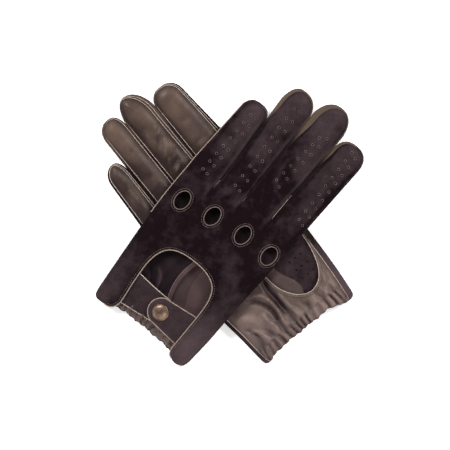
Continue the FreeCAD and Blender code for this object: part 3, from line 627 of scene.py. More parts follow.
def add_sheet(build, side, panel, height, shape, holes=(), spacing=GRID, tone=0.5):
    """Adds a cut sheet raised to height(uv), facing as its panel does; tone is a number or a function."""
    uv, faces = panel_faces(shape, holes, spacing)
    if outward(side, panel) < 0:
        faces = faces[:, ::-1]
    build.add(place(side, uv, height(uv)), faces, tone=tone(uv) if callable(tone) else tone)


def add_rows(build, side, rows, wrap=False, ends=(), tone=0.5):
    """Adds a band between rows of points that lie on the palm."""
    faces = grid_faces(len(rows), len(rows[0]), wrap) + list(ends)
    if outward(side, "palm") < 0:
        faces = [f[::-1] for f in faces]
    build.add(np.vstack(rows), faces, tone=tone)


def add_wall(build, side, first, last, tone):
    """The side wall between two outline points, bulging out to the silhouette."""
    low, middle, top = (OUTLINES[side, level][first:last + 1] for level in ("low", "middle", "top"))
    top_panel = TOP_PANEL[side]
    low_h, top_h = skin(side, UNDER_PANEL[side], low), skin(side, top_panel, top)
    mid_h = np.clip(drape(side, middle[:, 1]) + WALL_MIDDLE, low_h + 0.5, top_h - 0.5)
    rows, verts = [], []
    for a in np.radians(np.linspace(90, -90, WALL_ROWS)):
        edge, edge_h = (top, top_h) if a >= 0 else (low, low_h)
        rows.append(edge + (middle - edge) * math.cos(a))
        verts.append(place(side, rows[-1], mid_h + (edge_h - mid_h) * abs(math.sin(a))))
    build.add(np.vstack(verts), grid_faces(len(rows), last - first + 1), tone=tone(np.vstack(rows)))


# --- materials

def srgb(*levels):
    channels = [c / 255 for c in levels]
    return (*(c / 12.92 if c <= 0.04045 else ((c + 0.055) / 1.055)**2.4 for c in channels), 1.0)


class Nodes:
    """Short calls for building a material's node tree."""

    def __init__(self, name):
        self.material = bpy.data.materials.new(name)
        self.material.use_nodes = True
        self.tree = self.material.node_tree
        self.where = self.node("TexCoord").outputs["Object"]

    def put(self, socket, value):
        if isinstance(value, bpy.types.NodeSocket):
            self.tree.links.new(value, socket)
        else:
            socket.default_value = value

    def node(self, kind, **values):
        """A new node; each value fills the input of that name, or else the setting of that name."""
        made = self.tree.nodes.new("ShaderNode" + kind)
        for key, value in values.items():
            name = key.replace("_", " ")
            if name in made.inputs:
                self.put(made.inputs[name], value)
            else:
                setattr(made, key, value)
        return made

    def noise(self, size_mm, detail, rough, stretch=None):
        where = self.where
        if stretch:
            where = self.node("Mapping", Vector=where, Scale=stretch).outputs["Vector"]
        return self.node("TexNoise", Vector=where, Scale=1000.0 / size_mm, Detail=detail,
                         Roughness=rough).outputs["Fac"]

    def wave(self, scale, distortion=0.0):
        return self.node("TexWave", wave_type="BANDS", bands_direction="DIAGONAL", Vector=self.where,
                         Scale=scale, Distortion=distortion).outputs["Fac"]

    def ramp(self, value, low, high, out_low=0.0, out_high=1.0):
        return self.node("MapRange", Value=value, From_Min=low, From_Max=high, To_Min=out_low,
                         To_Max=out_high).outputs["Result"]

    def mix(self, factor, a, b, blend="MIX"):
        made = self.node("Mix", data_type="RGBA", blend_type=blend)
        for socket, value in ((0, factor), (6, a), (7, b)):
            self.put(made.inputs[socket], value)
        return made.outputs[2]

    def math(self, operation, a, b):
        made = self.node("Math", operation=operation)
        self.put(made.inputs[0], a)
        self.put(made.inputs[1], b)
        return made.outputs[0]

    def varied(self, tone, noise, by):
        """A tone made up to that much darker and lighter by a noise."""
        return self.math("ADD", tone, self.ramp(noise, 0.3, 0.7, -by, by))

    def tone(self):
        return self.node("Attribute", attribute_name="tone").outputs["Fac"]

    def bump(self, height, strength, distance_mm, **under):
        return self.node("Bump", Height=height, Strength=strength, Distance=distance_mm * MM,
                         **under).outputs["Normal"]

    def finish(self, **values):
        for key, value in values.items():
            self.put(self.tree.nodes["Principled BSDF"].inputs[key.replace("_", " ")], value)
        return self.material


def make_suede(name, dark, light, nap):
    """Napped suede: fine fibres, brushed patches, and a soft bright edge where the nap faces the light."""
    n = Nodes(name)
    fibres = n.noise(0.55, 2.0, 0.7)
    tone = n.varied(n.tone(), n.noise(17.0, 4.0, 0.6), 0.09)
    tone = n.ramp(n.varied(tone, n.noise(6.0, 3.0, 0.6), 0.08), 0.0, 1.0)
    fuzz = n.math("MULTIPLY", n.ramp(fibres, 0.4, 0.75, 0.0, 0.6), n.ramp(tone, 0.0, 0.6, 0.10, 1.0))
    color = n.mix(fuzz, n.mix(tone, dark, light), nap)
    normal = n.bump(n.noise(1.6, 3.0, 0.65), 0.5, 0.30, Normal=n.bump(fibres, 0.55, 0.25))
    return n.finish(Base_Color=color, Roughness=0.95, Normal=normal, Sheen_Weight=0.06, Sheen_Roughness=0.5,
                    Sheen_Tint=nap, Specular_IOR_Level=0.08)


def make_nappa(name, dark, light, shine, gloss, cloudy=0.18, top_tone=1.0, coat=0.0):
    """Smooth glove leather: pebbled grain, creases, soft sheen, uneven dye, and a cooler colour towards the
    cuffs.
    """
    n = Nodes(name)
    clouds = n.noise(22.0, 4.0, 0.55)
    grain = n.node("TexVoronoi", feature="SMOOTH_F1", Vector=n.where, Scale=1000.0 / 0.75).outputs["Distance"]
    veins = n.math("ABSOLUTE", n.math("SUBTRACT", n.noise(13.0, 4.0, 0.6), 0.5), 0.0)
    color = n.mix(n.ramp(n.varied(n.tone(), clouds, cloudy), 0.0, top_tone), dark, light)
    hue = n.ramp(n.noise(31.0, 2.0, 0.5), 0.35, 0.65, 0.0, 0.35)
    color = n.mix(hue, color, n.mix(0.25, color, srgb(96, 72, 78)))
    along = n.node("SeparateXYZ", Vector=n.where).outputs["Y"]
    color = n.mix(n.ramp(along, -0.07, 0.05, 1.0, 0.0), color, (1.04, 1.11, 1.32, 1.0), "MULTIPLY")
    worn = n.mix(0.5, color, (0.0, 0.0, 0.0, 1.0))
    color = n.mix(n.ramp(grain, 0.0, 0.55, 0.35, 0.0), color, worn)
    normal = n.bump(grain, 0.30, 0.16)
    normal = n.bump(n.noise(0.45, 3.0, 0.6), 0.18, 0.12, Normal=normal)
    normal = n.bump(n.noise(4.2, 5.0, 0.62), 0.09, 0.6, Normal=normal)
    normal = n.bump(n.ramp(veins, 0.0, 0.035), 0.09, 0.4, Normal=normal)
    rough = n.ramp(clouds, 0.3, 0.7, shine - 0.05, shine + 0.09)
    return n.finish(Base_Color=color, Roughness=rough, Normal=normal, Specular_IOR_Level=gloss,
                    Specular_Tint=srgb(255, 232, 214), Coat_Weight=coat, Coat_Roughness=0.34)


def make_raw_edge(name, dark, light):
    """The cut edge of leather: pale, fibrous and slightly ragged."""
    n = Nodes(name)
    fibres = n.noise(0.5, 3.0, 0.7)
    color = n.mix(n.ramp(n.varied(fibres, n.noise(2.2, 2.0, 0.5), 0.08), 0.2, 0.75), dark, light)
    return n.finish(Base_Color=color, Roughness=0.8, Normal=n.bump(fibres, 0.7, 0.25), Specular_IOR_Level=0.2)


def make_thread(name, dark, light):
    """Waxed sewing thread with its twist."""
    n = Nodes(name)
    twist = n.wave(1100.0, 1.5)
    return n.finish(Base_Color=n.mix(twist, dark, light), Roughness=0.6, Normal=n.bump(twist, 0.6, 0.12),
                    Specular_IOR_Level=0.3)


def make_elastic(name, dark, light):
    """Woven elastic: close ribs along the band and fine cross threads."""
    n = Nodes(name)
    ribs = n.wave(420.0)
    fine = n.ramp(n.noise(0.4, 2.0, 0.5), 0.3, 0.7, 0.0, 0.4)
    color = n.mix(fine, n.mix(ribs, dark, light), dark)
    return n.finish(Base_Color=color, Roughness=0.85, Normal=n.bump(ribs, 0.7, 0.3), Specular_IOR_Level=0.2)


def make_bronze(name, deep, bright):
    """Antique bronze: brushed, with patches of dark patina."""
    n = Nodes(name)
    scratches = n.noise(1.1, 3.0, 0.7, (1.0, 9.0, 1.0))
    color = n.mix(n.ramp(n.noise(3.4, 4.0, 0.6), 0.3, 0.7), deep, bright)
    return n.finish(Base_Color=color, Roughness=n.ramp(scratches, 0.3, 0.7, 0.34, 0.46),
                    Normal=n.bump(scratches, 0.10, 0.08), Metallic=1.0)


SUEDE_DARK = make_suede("suede", srgb(13, 3, 7), srgb(74, 60, 64), srgb(80, 67, 69))
# its light colour is reached at tone 2; tones above 1 come mostly from the painted highlights on the palm's
# fold ridges
NAPPA_BROWN = make_nappa("smooth_leather", srgb(27, 16, 17), srgb(139, 115, 98), 0.46, 0.34, top_tone=2.0,
                         coat=0.04)
# the inner faces of back and palm, and the thumb's backing, get this dark colour as painted shade inside the
# glove
NAPPA_PAINTED_INSIDE_SHADE = make_nappa("lining_in_painted_shade", srgb(7, 4, 6), srgb(58, 45, 46), 0.8, 0.12)
NAPPA_INNER = make_nappa("inner_leather", srgb(44, 31, 30), srgb(80, 61, 57), 0.7, 0.22)
# its near-black dark end serves the painted shade deep between the fingers
FOURCHETTE = make_nappa("fourchette_leather", srgb(4, 2, 3), srgb(95, 80, 68), 0.6, 0.12, 0.08)
CUT_SUEDE = make_raw_edge("cut_suede", srgb(30, 22, 22), srgb(78, 64, 60))
RAW_EDGE = make_raw_edge("raw_edge", srgb(118, 101, 91), srgb(206, 189, 177))
PIPING = make_raw_edge("piping", srgb(98, 80, 71), srgb(166, 146, 133))
BINDING = make_raw_edge("binding", srgb(66, 54, 51), srgb(118, 101, 95))
RIM = make_raw_edge("punched_rim", srgb(56, 45, 45), srgb(134, 118, 114))
THREAD = make_thread("thread", srgb(62, 50, 49), srgb(128, 111, 107))
THREAD_DARK = make_thread("dark_thread", srgb(20, 13, 13), srgb(52, 41, 38))
ELASTIC = make_elastic("elastic", srgb(26, 20, 20), srgb(60, 50, 48))
BRONZE = make_bronze("antique_bronze", srgb(100, 78, 66), srgb(156, 130, 114))


# --- tones: brushed-up and shaded areas

def spots(uv, *table):
    """Adds up soft spots; each has an amount, its centre's u and s, and its two half sizes."""
    return sum(amount * np.exp(-(((uv[:, 0] - u) / half_u)**2 + ((uv[:, 1] - s) / half_s)**2))
               for amount, u, s, half_u, half_s in table)


def edge_shade(side, uv, width):
    """Rises from 0 at the outline to 1 at the given distance inside it."""
    return smoothstep(distance(uv, OUTLINES[side, "top"][::3]), 0, width)


def finger_gap(side, web):
    """The line where two neighbouring fingers part, from their crotch up to their shoulders."""
    path, root = OUTLINES[side, "top"], STARTS[web + 1]
    before, after = path[root - SIDE_STEPS:root][::-1], path[root:root + SIDE_STEPS]
    s = np.linspace(before[0, 1], min(before[-1, 1], after[-1, 1]), 40)
    u = (np.interp(s, before[:, 1], before[:, 0]) + np.interp(s, after[:, 1], after[:, 0])) / 2
    return u, s


def gap_shade(side, uv):
    """Light on the edge of the finger before each gap, shadow on the finger after it."""
    total = np.zeros(len(uv))
    for web in range(len(WEBS)):
        u, s = finger_gap(side, web)
        off = uv[:, 0] - np.interp(uv[:, 1], s, u)
        after = -0.50 * (1 - smoothstep(off, 0.6, 4.6))
        before = 0.30 * np.exp(-((off + 2.3) / 1.35)**2) - 0.25 * (1 - smoothstep(-off, 0.3, 1.3))
        span = smoothstep(uv[:, 1], s[0] - 7, s[0] + 3) * (1 - smoothstep(uv[:, 1], s[-1] - 4, s[-1] + 10))
        total += np.where(off > 0, after, before) * span * (np.abs(off) < 7)
    return total


def back_tone_and_painted_shade(side):
    """The hand's middle is dark; fingertips, outer sides and cuff are lighter; painted shade along the finger
    edges and beside the gaps, painted light and shade on the folds.
    """
    def tone(uv):
        t = 0.03 + spots(uv, (0.03, 43, 140, 9, 40), (0.30, -40, 12, 12, 34), (0.80, 40, 12, 14, 34),
                         (-0.16, 5, 158, 8, 26))
        for name in FINGERS:
            tip, half, reach = FINGER[side][name][2:5]
            t += spots(uv, (0.37, tip, reach - 4, half * 1.05, 32),
                       (0.12, tip + 3, reach - 50, half * 0.7, 34))
        # painted shade along the fingers' edges, from s 120 up
        t -= 0.16 * (1 - edge_shade(side, uv, 2.2)) * smoothstep(uv[:, 1], 120, 140)
        # painted light and shadow beside the finger gaps, painted highlights on the fold ridges and painted
        # shade in the hollows
        return np.clip(t + gap_shade(side, uv) + 0.19 * relief("back", uv), 0, 1)
    return tone


def palm_tone_painted_light_and_shade(side):
    """Painted light and shade: lighter on the padded parts and fold ridges, darker in the hollows, along the
    seams and edges, and inside the left glove.
    """
    def tone(uv):
        s = uv[:, 1]
        roots = smoothstep(s, 120, 150)
        # painted highlight on the bulge at u -36, painted shade in the hollow at u -6 and in the hollow under
        # the left glove's edge at u -32; the other spots darken the little finger and lighten the index finger
        # and the cuff on its index side
        t = 0.40 + spots(uv, (-0.14, -41, 178, 11, 26), (0.20, 29, 186, 12, 34), (0.36, -36, 34, 16, 14),
                         (0.22, 25, 10, 26, 14), (-0.50, -6, 42, 5, 22), (-0.40, -32, 53, 16, 6))
        # on the left glove, painted shade inside the hand where the palm is seen through the wrist opening and
        # the knuckle holes, and a painted shadow beside the thumb's flange
        if side == "left":
            t -= 0.22 * smoothstep(s, 24, 40) + 0.30 * smoothstep(s, 84, 96)
            t += spots(uv, (-0.45, -6.3, 57, 3.4, 26))
        t += 0.14 * (1 - smoothstep(s, 30, 62))
        t -= 0.12 * (1 - smoothstep(s, 168, 205)) * roots + 0.10 * roots
        # painted shade along the edges and seams
        t -= 0.34 * (1 - edge_shade(side, uv, 4.0))
        for name in FINGERS:
            tip, half, reach = FINGER[side][name][2:5]
            # painted shade along each finger's index-side edge, and a lighter spot below its tip
            t += spots(uv, (-0.30, tip + half, 168, half * 0.9, 40),
                       (0.10, tip - half * 0.3, reach - 26, half * 0.7, 18))
        # painted highlights on the fold ridges and pleats, painted shade in their hollows
        return np.clip(t + 0.27 * relief("palm", uv), 0, 2)
    return tone


def fourchette_painted_shade(side):
    """Painted shade: dark deep between the fingers, lighter near the seam and where a fingertip stands free."""
    free_tone, seam_tone = (0.62, 0.03) if side == "left" else (0.46, 0.24)
    edge = OUTLINES[side, "middle"][::3]

    def tone(uv):
        free = smoothstep(uv[:, 1], 188, 212)
        return seam_tone * smoothstep(distance(uv, edge), 0.7, 2.6) * (1 - free) + free_tone * free
    return tone


# --- back, palm and fourchettes

def cuff_edge(side):
    """The palm's free edge at the cuff, from the index side to the little finger's side."""
    edge = panel_edge(side, "palm")
    first, last = edge[-1], edge[0]
    u = np.linspace(first[0], last[0], 90)[1:-1]
    if side == "right":
        line = 4.0 - 5.4 * smoothstep(u, 18, 42) - 2.6 * smoothstep(-u, 24, 42)
    else:
        line = 4.6 + 1.4 * np.cos(u / 19.0)
    wave = 0.45 * np.sin(u / 1.02 + 1.1 * np.sin(u / 6.3)) + 0.4 * np.sin(u / 2.9 + 1.0)
    fade = smoothstep(np.abs(u - first[0]), 0, 4) * smoothstep(np.abs(u - last[0]), 0, 4)
    start = first[1] + (last[1] - first[1]) * (u - first[0]) / (last[0] - first[0])
    return np.stack([u, start * (1 - fade) + (line + wave) * fade], 1)


def opening_path(side, step):
    """The wrist opening's edge.  The right glove's little-finger lobe ends higher, behind its palm."""
    path = catmull(OPENING, step)
    if side == "right":
        near = smoothstep(path[:, 0], -43, -31) * (1 - smoothstep(path[:, 0], -20, 0))
        path[:, 1] += 4.0 * near * (1 - smoothstep(path[:, 1], 0, 18))
    return path


def punch_rows():
    """Centres of the punched holes in the left back's fingers."""
    for *rows, count in PUNCHED.values():
        for start, end in (rows[:2], rows[2:]):
            for t in np.linspace(0, 1, count):
                yield np.array(start) * (1 - t) + np.array(end) * t


def add_panel(build, side, panel, cuff, holes, tone):
    """A whole back or palm: its outline, closed by its edge at the cuff, with its holes."""
    shape = thin(np.vstack([panel_edge(side, panel), cuff]), PANEL_LEAST)
    add_sheet(build, side, panel, lambda uv: skin(side, panel, uv), shape, holes, tone=tone)


def build_back(side):
    build = Build()
    centres = list(punch_rows()) if side == "left" else []
    holes = [ellipse(c, KNUCKLE_HALF, 40) for c in KNUCKLES[side]]
    holes += [ellipse(c, PUNCH_RADIUS, 10) for c in centres]
    add_panel(build, side, "back", opening_path(side, EDGE_STEP), holes, back_tone_and_painted_shade(side))
    for first, last in WALLS["back"]:
        add_wall(build, side, first, last, back_tone_and_painted_shade(side))
    add_piece(side, "back_panel_leather", build, [SUEDE_DARK, CUT_SUEDE, NAPPA_PAINTED_INSIDE_SHADE], "back_panel",
              thickness=SUEDE)
    if centres:
        rims = Build()
        for c in centres:
            ring = ellipse(c, PUNCH_RADIUS + RIM_RADIUS, 12)
            rims.tube(on_skin(side, "back", ring, 0.0), RIM_RADIUS, loop=True, sides=5, tone=0.6)
        add_piece(side, "punched_rims", rims, [RIM])


def build_palm(side):
    build = Build()
    add_panel(build, side, "palm", cuff_edge(side), [THUMB_HOLE], palm_tone_painted_light_and_shade(side))
    add_piece(side, "palm_panel_leather", build, [NAPPA_BROWN, CUT_SUEDE, NAPPA_PAINTED_INSIDE_SHADE],
              "palm_panel", thickness=NAPPA)


def build_fourchettes(side):
    for web in WEBS:
        build = Build()
        for first, last in WALLS[web]:
            add_wall(build, side, first, last, fourchette_painted_shade(side))
        add_piece(side, f"fourchette_{web}_leather", build, [FOURCHETTE, CUT_SUEDE],
                  f"fourchette_{web}", thickness=WALL)


# --- thumb

# the thumb's outline on the palm: the sewn oval below, the free thumb above
THUMB_OUTLINE = (
    (-1.2, 57.0), (0.2, 45.0), (3.8, 36.0), (10.6, 27.6), (20.0, 23.6), (29.6, 26.6), (36.4, 35.0),
    (40.8, 48.0), (42.6, 62.0), (42.0, 80.0), (39.5, 95.0), (34.5, 106.5), (27.0, 111.0), (19.5, 108.5),
    (14.0, 101.0), (10.0, 89.0), (5.0, 76.0), (0.6, 67.0),
)
THUMB_PARTING = (
    (14.0, 25.4), (16.2, 31.0), (15.4, 38.0), (12.6, 44.0), (9.8, 50.0), (8.2, 59.0), (8.0, 70.0),
    (10.0, 80.0), (13.4, 90.0), (17.0, 99.0), (20.5, 109.0),
)
THUMB_MIDDLE = np.array([20.5, 56.0])
THUMB_HALF = np.array([20.0, 31.5])
THUMB_HOLE = ellipse(THUMB_MIDDLE, THUMB_HALF, 60)
THUMB_EDGE = closed(catmull(THUMB_OUTLINE, 2.0, loop=True))
WELT_OUT, THUMB_STITCH_OUT = 1.5, 2.7
# the thumb's punched holes, and how far they stay from its edge
THUMB_PUNCH_U, THUMB_PUNCH_S = (21.0, 26.5, 32.0), np.arange(36.0, 104.0, 8.0)
PUNCH_CLEAR = 3.0
BACKING_HALF = np.array([18.8, 30.0])
BACKING_GAP, BACKING_THICK = 0.06, 0.35


def thumb_skin(side, uv, lift=0.0):
    """Height of the thumb's outer face, which swells from its sewn edge on the palm."""
    d = distance(uv, THUMB_EDGE)
    rise = 1 - (1 - np.clip(d / 8.0, 0, 1))**2
    swell = 0.25 + rise * (0.9 + 2.7 * smoothstep(uv[:, 1], 34, 66))
    swell += 0.25 * undulation(uv, 31, 16.0) * smoothstep(d, 0, 4)
    return skin(side, "palm", uv, swell + lift)


def thumb_tone_painted_seam_shade(value):
    """Darker along the thumb's sewn edge: painted shade where the thumb swells up from its seam."""
    return lambda uv: value * (0.25 + 0.75 * smoothstep(distance(uv, THUMB_EDGE), 0.6, 4.5))


def add_thumb_part(side, name, shape, holes, tone, outer, node, thickness, lift=0.0):
    build = Build()
    add_sheet(build, side, "palm", lambda uv: thumb_skin(side, uv, lift), shape, holes, tone=tone)
    add_piece(side, name, build, [outer, CUT_SUEDE, NAPPA_INNER], node, thickness=thickness)


def build_thumb(side):
    outer = catmull(THUMB_OUTLINE, EDGE_STEP, loop=True)
    parting = catmull(THUMB_PARTING, EDGE_STEP)
    start, end = (np.linalg.norm(outer - parting[k], axis=1).argmin() for k in (0, -1))
    around = np.roll(outer, -start, 0)
    stop = (end - start) % len(outer)
    middle = parting[1:-1]
    back_shape = thin(np.vstack([around[:stop + 1], middle[::-1]]), THUMB_LEAST)
    front_shape = thin(np.vstack([around[stop:], around[:1], middle]), THUMB_LEAST)
    rows = np.array([(u, s) for u in THUMB_PUNCH_U for s in THUMB_PUNCH_S])
    rows = rows[inside(rows, back_shape) & (distance(rows, closed(back_shape)) > PUNCH_CLEAR)]
    holes = [ellipse(c, PUNCH_RADIUS, 10) for c in rows]
    add_thumb_part(side, "thumb_back_leather", back_shape, holes, thumb_tone_painted_seam_shade(0.2), SUEDE_DARK,
                   "thumb_back", SUEDE)
    add_thumb_part(side, "thumb_front_leather", front_shape, [], thumb_tone_painted_seam_shade(0.22), NAPPA_BROWN,
                   "thumb_front", NAPPA)
    # thin leather under the punched part, inside the thumb hole, in the dark inside colour of painted shade
    off = (back_shape.mean(0) + (back_shape - back_shape.mean(0)) * 0.94 - THUMB_MIDDLE) / BACKING_HALF
    off /= np.maximum(np.linalg.norm(off, axis=1), 1.0)[:, None]
    backing = thin(THUMB_MIDDLE + off * BACKING_HALF, THUMB_LEAST)
    add_thumb_part(side, "thumb_backing", backing, [], 0.5, NAPPA_PAINTED_INSIDE_SHADE, None, BACKING_THICK,
                   -SUEDE - BACKING_GAP)


def build_thumb_seam(side):
    """The oval seam: a raised welt with a row of stitches outside, and its turned flange inside the hand."""
    ring = catmull(THUMB_OUTLINE, loop=True)
    sewn = np.roll(ring, len(ring) // 5, 0)[:int(len(ring) * 0.86)]
    sewn = sewn[sewn[:, 1] < 94]
    gaps = np.linalg.norm(np.diff(sewn, axis=0), axis=1)
    if gaps.max() > 4:
        sewn = np.roll(sewn, -(gaps.argmax() + 1), 0)
    cords, rows, flange = Build(), Build(), Build()
    whole = closed(ring)
    cords.tube(place(side, whole, thumb_skin(side, whole)), CORD["thumb"], sides=7)
    welt = offset_path(sewn, WELT_OUT)
    cords.tube(on_skin(side, "palm", welt, 0.0), CORD["welt"] * taper(len(welt)), slot=1, sides=7)
    beside = offset_path(sewn, THUMB_STITCH_OUT)
    rows.stitches(on_skin(side, "palm", beside, 0.05), *STITCHES["thumb"])
    for half, lift, radius, slot, sides, flat in (((21.6, 33.2), -0.55, 1.7, 0, 10, 0.34),
                                                  ((23.3, 34.9), -0.75, 0.3, 1, 6, 1.0)):
        path = on_skin(side, "palm", ellipse(THUMB_MIDDLE, half, 90), lift - NAPPA)
        flange.tube(path, radius, slot, True, sides, flat=flat)
    add_piece(side, "thumb_seam_edge", cords, [RAW_EDGE, BINDING])
    add_piece(side, "thumb_seam_stitches", rows, [THREAD_DARK])
    add_piece(side, "thumb_seam_flange", flange, [NAPPA_INNER, BINDING])


# --- wrist opening and knuckle holes

BINDING_IN, KNUCKLE_STITCH_OUT, OPENING_STITCH_OUT = 0.1, 1.7, 1.9

def build_edgings(side):
    opening = opening_path(side, 0.8)
    piping, rows, rings, threads = Build(), Build(), Build(), Build()
    piping.tube(on_skin(side, "back", opening, -0.05), CORD["piping"], sides=10)
    rows.stitches(on_skin(side, "back", offset_path(opening, OPENING_STITCH_OUT), 0.06),
                  *STITCHES["opening"])
    for c in KNUCKLES[side]:
        edge = ellipse(c, np.subtract(KNUCKLE_HALF, BINDING_IN), 60)
        rings.tube(on_skin(side, "back", edge, -0.05), CORD["binding"], loop=True, sides=10)
        outer = closed(ellipse(c, np.add(KNUCKLE_HALF, KNUCKLE_STITCH_OUT), 80))
        threads.stitches(on_skin(side, "back", outer, 0.08), *STITCHES["knuckle"])
    for name, build, material, slot, node in (
        ("opening_piping_cord", piping, PIPING, "edging", "opening_piping"),
        ("opening_stitches", rows, THREAD, "thread", "opening_stitching"),
        ("knuckle_binding_rings", rings, BINDING, "edging", "knuckle_bindings"),
        ("knuckle_stitches", threads, THREAD, "thread", "knuckle_stitching"),
    ):
        add_piece(side, name, build, [material], node)


# --- strap and tab

# the strap's hinge lies between these two points; add_piece works out where they lie but does not use them
HINGE_SPAN = ((29.0, 24.0), (24.2, 24.0))
STRAP_END = (4.4, 24.4)
STRAP_RADIUS = 11.0
STRAP_ROOT = (31.6, 11.0, 38.6)
STUD_AT = (4.2, 23.8)
STRAP_STEP = 0.9
TUCKED = -1.9
TAB = ((-31.5, 8.6), (-24.0, 9.6), (0.0, 12.6), (15.0, 14.2), (15.0, 34.4), (4.0, 35.6), (-12.0, 36.0),
       (-31.5, 37.6))
TAB_EDGES = (((-29.5, 37.4), (-12.0, 36.0), (2.0, 35.7)), ((-26.0, 9.4), (-12.0, 11.2), (2.0, 13.0)))


def plain_height(side, uv, lift):
    """The back's plain surface across the wrist opening, without its unevenness, plus a lift outwards."""
    sign = outward(side, "back")
    local = TOP_EDGE + TOP_SWELL if sign > 0 else LOW_EDGE - LOW_SWELL
    return drape(side, uv[:, 1]) + local + sign * lift


def strap_height(side, uv, lift):
    """The strap runs out from under the cuff's edge, then lies over the tab and the stud."""
    return plain_height(side, uv, TUCKED + 3.15 * smoothstep(-uv[:, 0], -28.5, -17.0) + lift)


def tab_height(side, uv, lift):
    return plain_height(side, uv, TUCKED - 0.75 * smoothstep(uv[:, 0], -30, -10) + lift)


def strap_ring():
    """The strap's outline: from its lower root round the snap end to its upper root."""
    root_u, low, high = STRAP_ROOT
    a = np.radians(np.linspace(-86, -274, 40))
    cap = STRAP_END + STRAP_RADIUS * np.stack([np.cos(a), np.sin(a)], 1)
    corners = [[root_u, low], [16.0, 12.4], cap, [16.0, 36.8], [root_u, high]]
    return resample(np.vstack(corners), STRAP_STEP)


def build_strap(side):
    ring = strap_ring()
    for name, inset, lift, thick, material, slot, tone in (
        ("strap", 0.4, 0.1, 0.75, SUEDE_DARK, "suede", 0.36),
        ("strap_lining", 0.5, -0.68, 0.45, NAPPA_INNER, "smooth_leather", 0.5),
    ):
        shape = ring.mean(0) + (ring - ring.mean(0)) * (1 - inset / 15.0)

        def height(uv):
            crown = 0.35 * smoothstep(distance(uv, closed(shape)), 0, 3.5)
            return strap_height(side, uv, lift + 0.10 * undulation(uv, 41, 12.0) + crown)

        build = Build()
        add_sheet(build, side, "back", height, shape, [ellipse(STUD_AT, 1.6, 16)], min(GRID, 1.2), tone)
        add_piece(side, f"{name}_leather", build, [material, RAW_EDGE], name, "hinge", thick)
    edge = Build()
    edge.tube(place(side, ring, strap_height(side, ring, -0.18)), CORD["strap"])
    add_piece(side, "strap_piping_cord", edge, [PIPING], "strap_piping", "hinge")


def build_tab(side):
    ring = resample(TAB, 1.0, True)
    hole = ellipse((STUD_AT[0], 25.0 if side == "left" else STUD_AT[1]), 1.7, 16)
    build, trims = Build(), Build()
    add_sheet(build, side, "back", lambda uv: tab_height(side, uv, 0.12 * undulation(uv, 47, 14.0)), ring,
              [hole], min(GRID, 1.5), 0.30)
    add_piece(side, "under_tab_leather", build, [SUEDE_DARK, RAW_EDGE], "under_tab", thickness=SUEDE)
    for path in TAB_EDGES:
        line = catmull(path)
        trims.tube(place(side, line, tab_height(side, line, 0.0)), CORD["tab"], sides=6)
    add_piece(side, "tab_edges", trims, [RAW_EDGE])


# --- elastic and hem

ELASTIC_CORNERS = ((9.0, -1.25), (9.0, -1.95), (17.0, -1.95), (17.0, -1.25))
HEM_DEEP_S = 13.6


def build_elastic(side):
    """The elastic band sewn inside the palm's cuff, pleated with the leather."""
    build = Build()
    count = 240
    rows = [on_skin(side, "palm", line_at(s, count), lift) for s, lift in ELASTIC_CORNERS]
    corners = range(0, 4 * count, count)
    ends = [tuple(corners)[::-1], tuple(k + count - 1 for k in corners)]
    add_rows(build, side, rows, True, ends)
    add_piece(side, "elastic_band_ribbed", build, [ELASTIC], "elastic_band", smooth=40)


def build_hem(side):
    """The cuff's leather turned in over the elastic, pleated with it."""
    rim = resample(cuff_edge(side), 0.6)
    rim = rim[np.abs(rim[:, 0]) < 41.0][::-1]
    depth = 0.9 + 1.35 * smoothstep(40.5 - np.abs(rim[:, 0]), 0, 8)
    rows = []
    for t in np.linspace(0, 1, 9):
        turn = min(t * 3.0, 1.0) * math.pi
        s = rim[:, 1] * (1 - t) + HEM_DEEP_S * t - 0.5 * math.sin(turn)
        rows.append(on_skin(side, "palm", np.stack([rim[:, 0], s], 1), 0.05 - depth * math.sin(turn / 2)))
    build, threads = Build(), Build()
    add_rows(build, side, rows, tone=0.62)
    add_piece(side, "cuff_hem", build, [NAPPA_BROWN, CUT_SUEDE], thickness=-0.5)
    threads.stitches(on_skin(side, "palm", line_at(CUFF_STITCH_S, 300), 0.05), *STITCHES["cuff"])
    add_piece(side, "cuff_stitches", threads, [THREAD])


# --- press stud

# the cap's profile from its top: radius and height
CAP_PROFILE = (
    (0.0, 0.0), (1.6, -0.05), (3.2, -0.24), (4.5, -0.56), (5.3, -0.92), (5.62, -1.14), (5.8, -1.16),
    (6.0, -1.06), (6.35, -1.06), (6.66, -1.28), (6.75, -1.62), (6.62, -1.98), (6.2, -2.18), (1.4, -2.25),
    (1.4, -4.3), (0.0, -4.3),
)
CAP_SIDES = 72
# how steeply each cuff slopes up from its edge
CUFF_TILT = {"left": math.atan(17.2 / 57.0), "right": 0.0}


def build_cap(side):
    """The press stud's cap: a shallow dome with a rolled edge, on its shank."""
    points = np.array([v.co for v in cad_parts[f"{side}_snap_cap"].data.vertices])
    tilt = CUFF_TILT[side]
    turn = math.radians(TURN[side])
    axis = outward(side, "back") * np.array(
        [math.sin(turn) * math.sin(tilt), -math.cos(turn) * math.sin(tilt), math.cos(tilt)])
    across = np.array([math.cos(turn), math.sin(turn), 0.0])
    along = points @ axis
    centre = points[along > along.max() - 0.4 * MM].mean(0)
    centre = centre + axis * (along.max() - centre @ axis)
    circle = ellipse((0.0, 0.0), MM, CAP_SIDES) @ [across, np.cross(axis, across)]
    faces = [(a, d, c, b) for a, b, c, d in grid_faces(len(CAP_PROFILE), CAP_SIDES, wrap_columns=True)]
    build = Build()
    build.add(np.vstack([centre + axis * h * MM + r * circle for r, h in CAP_PROFILE]), faces)
    add_piece(side, "snap_cap_dome", build, [BRONZE], "snap_cap", "strap", smooth=50, merge=0.001)


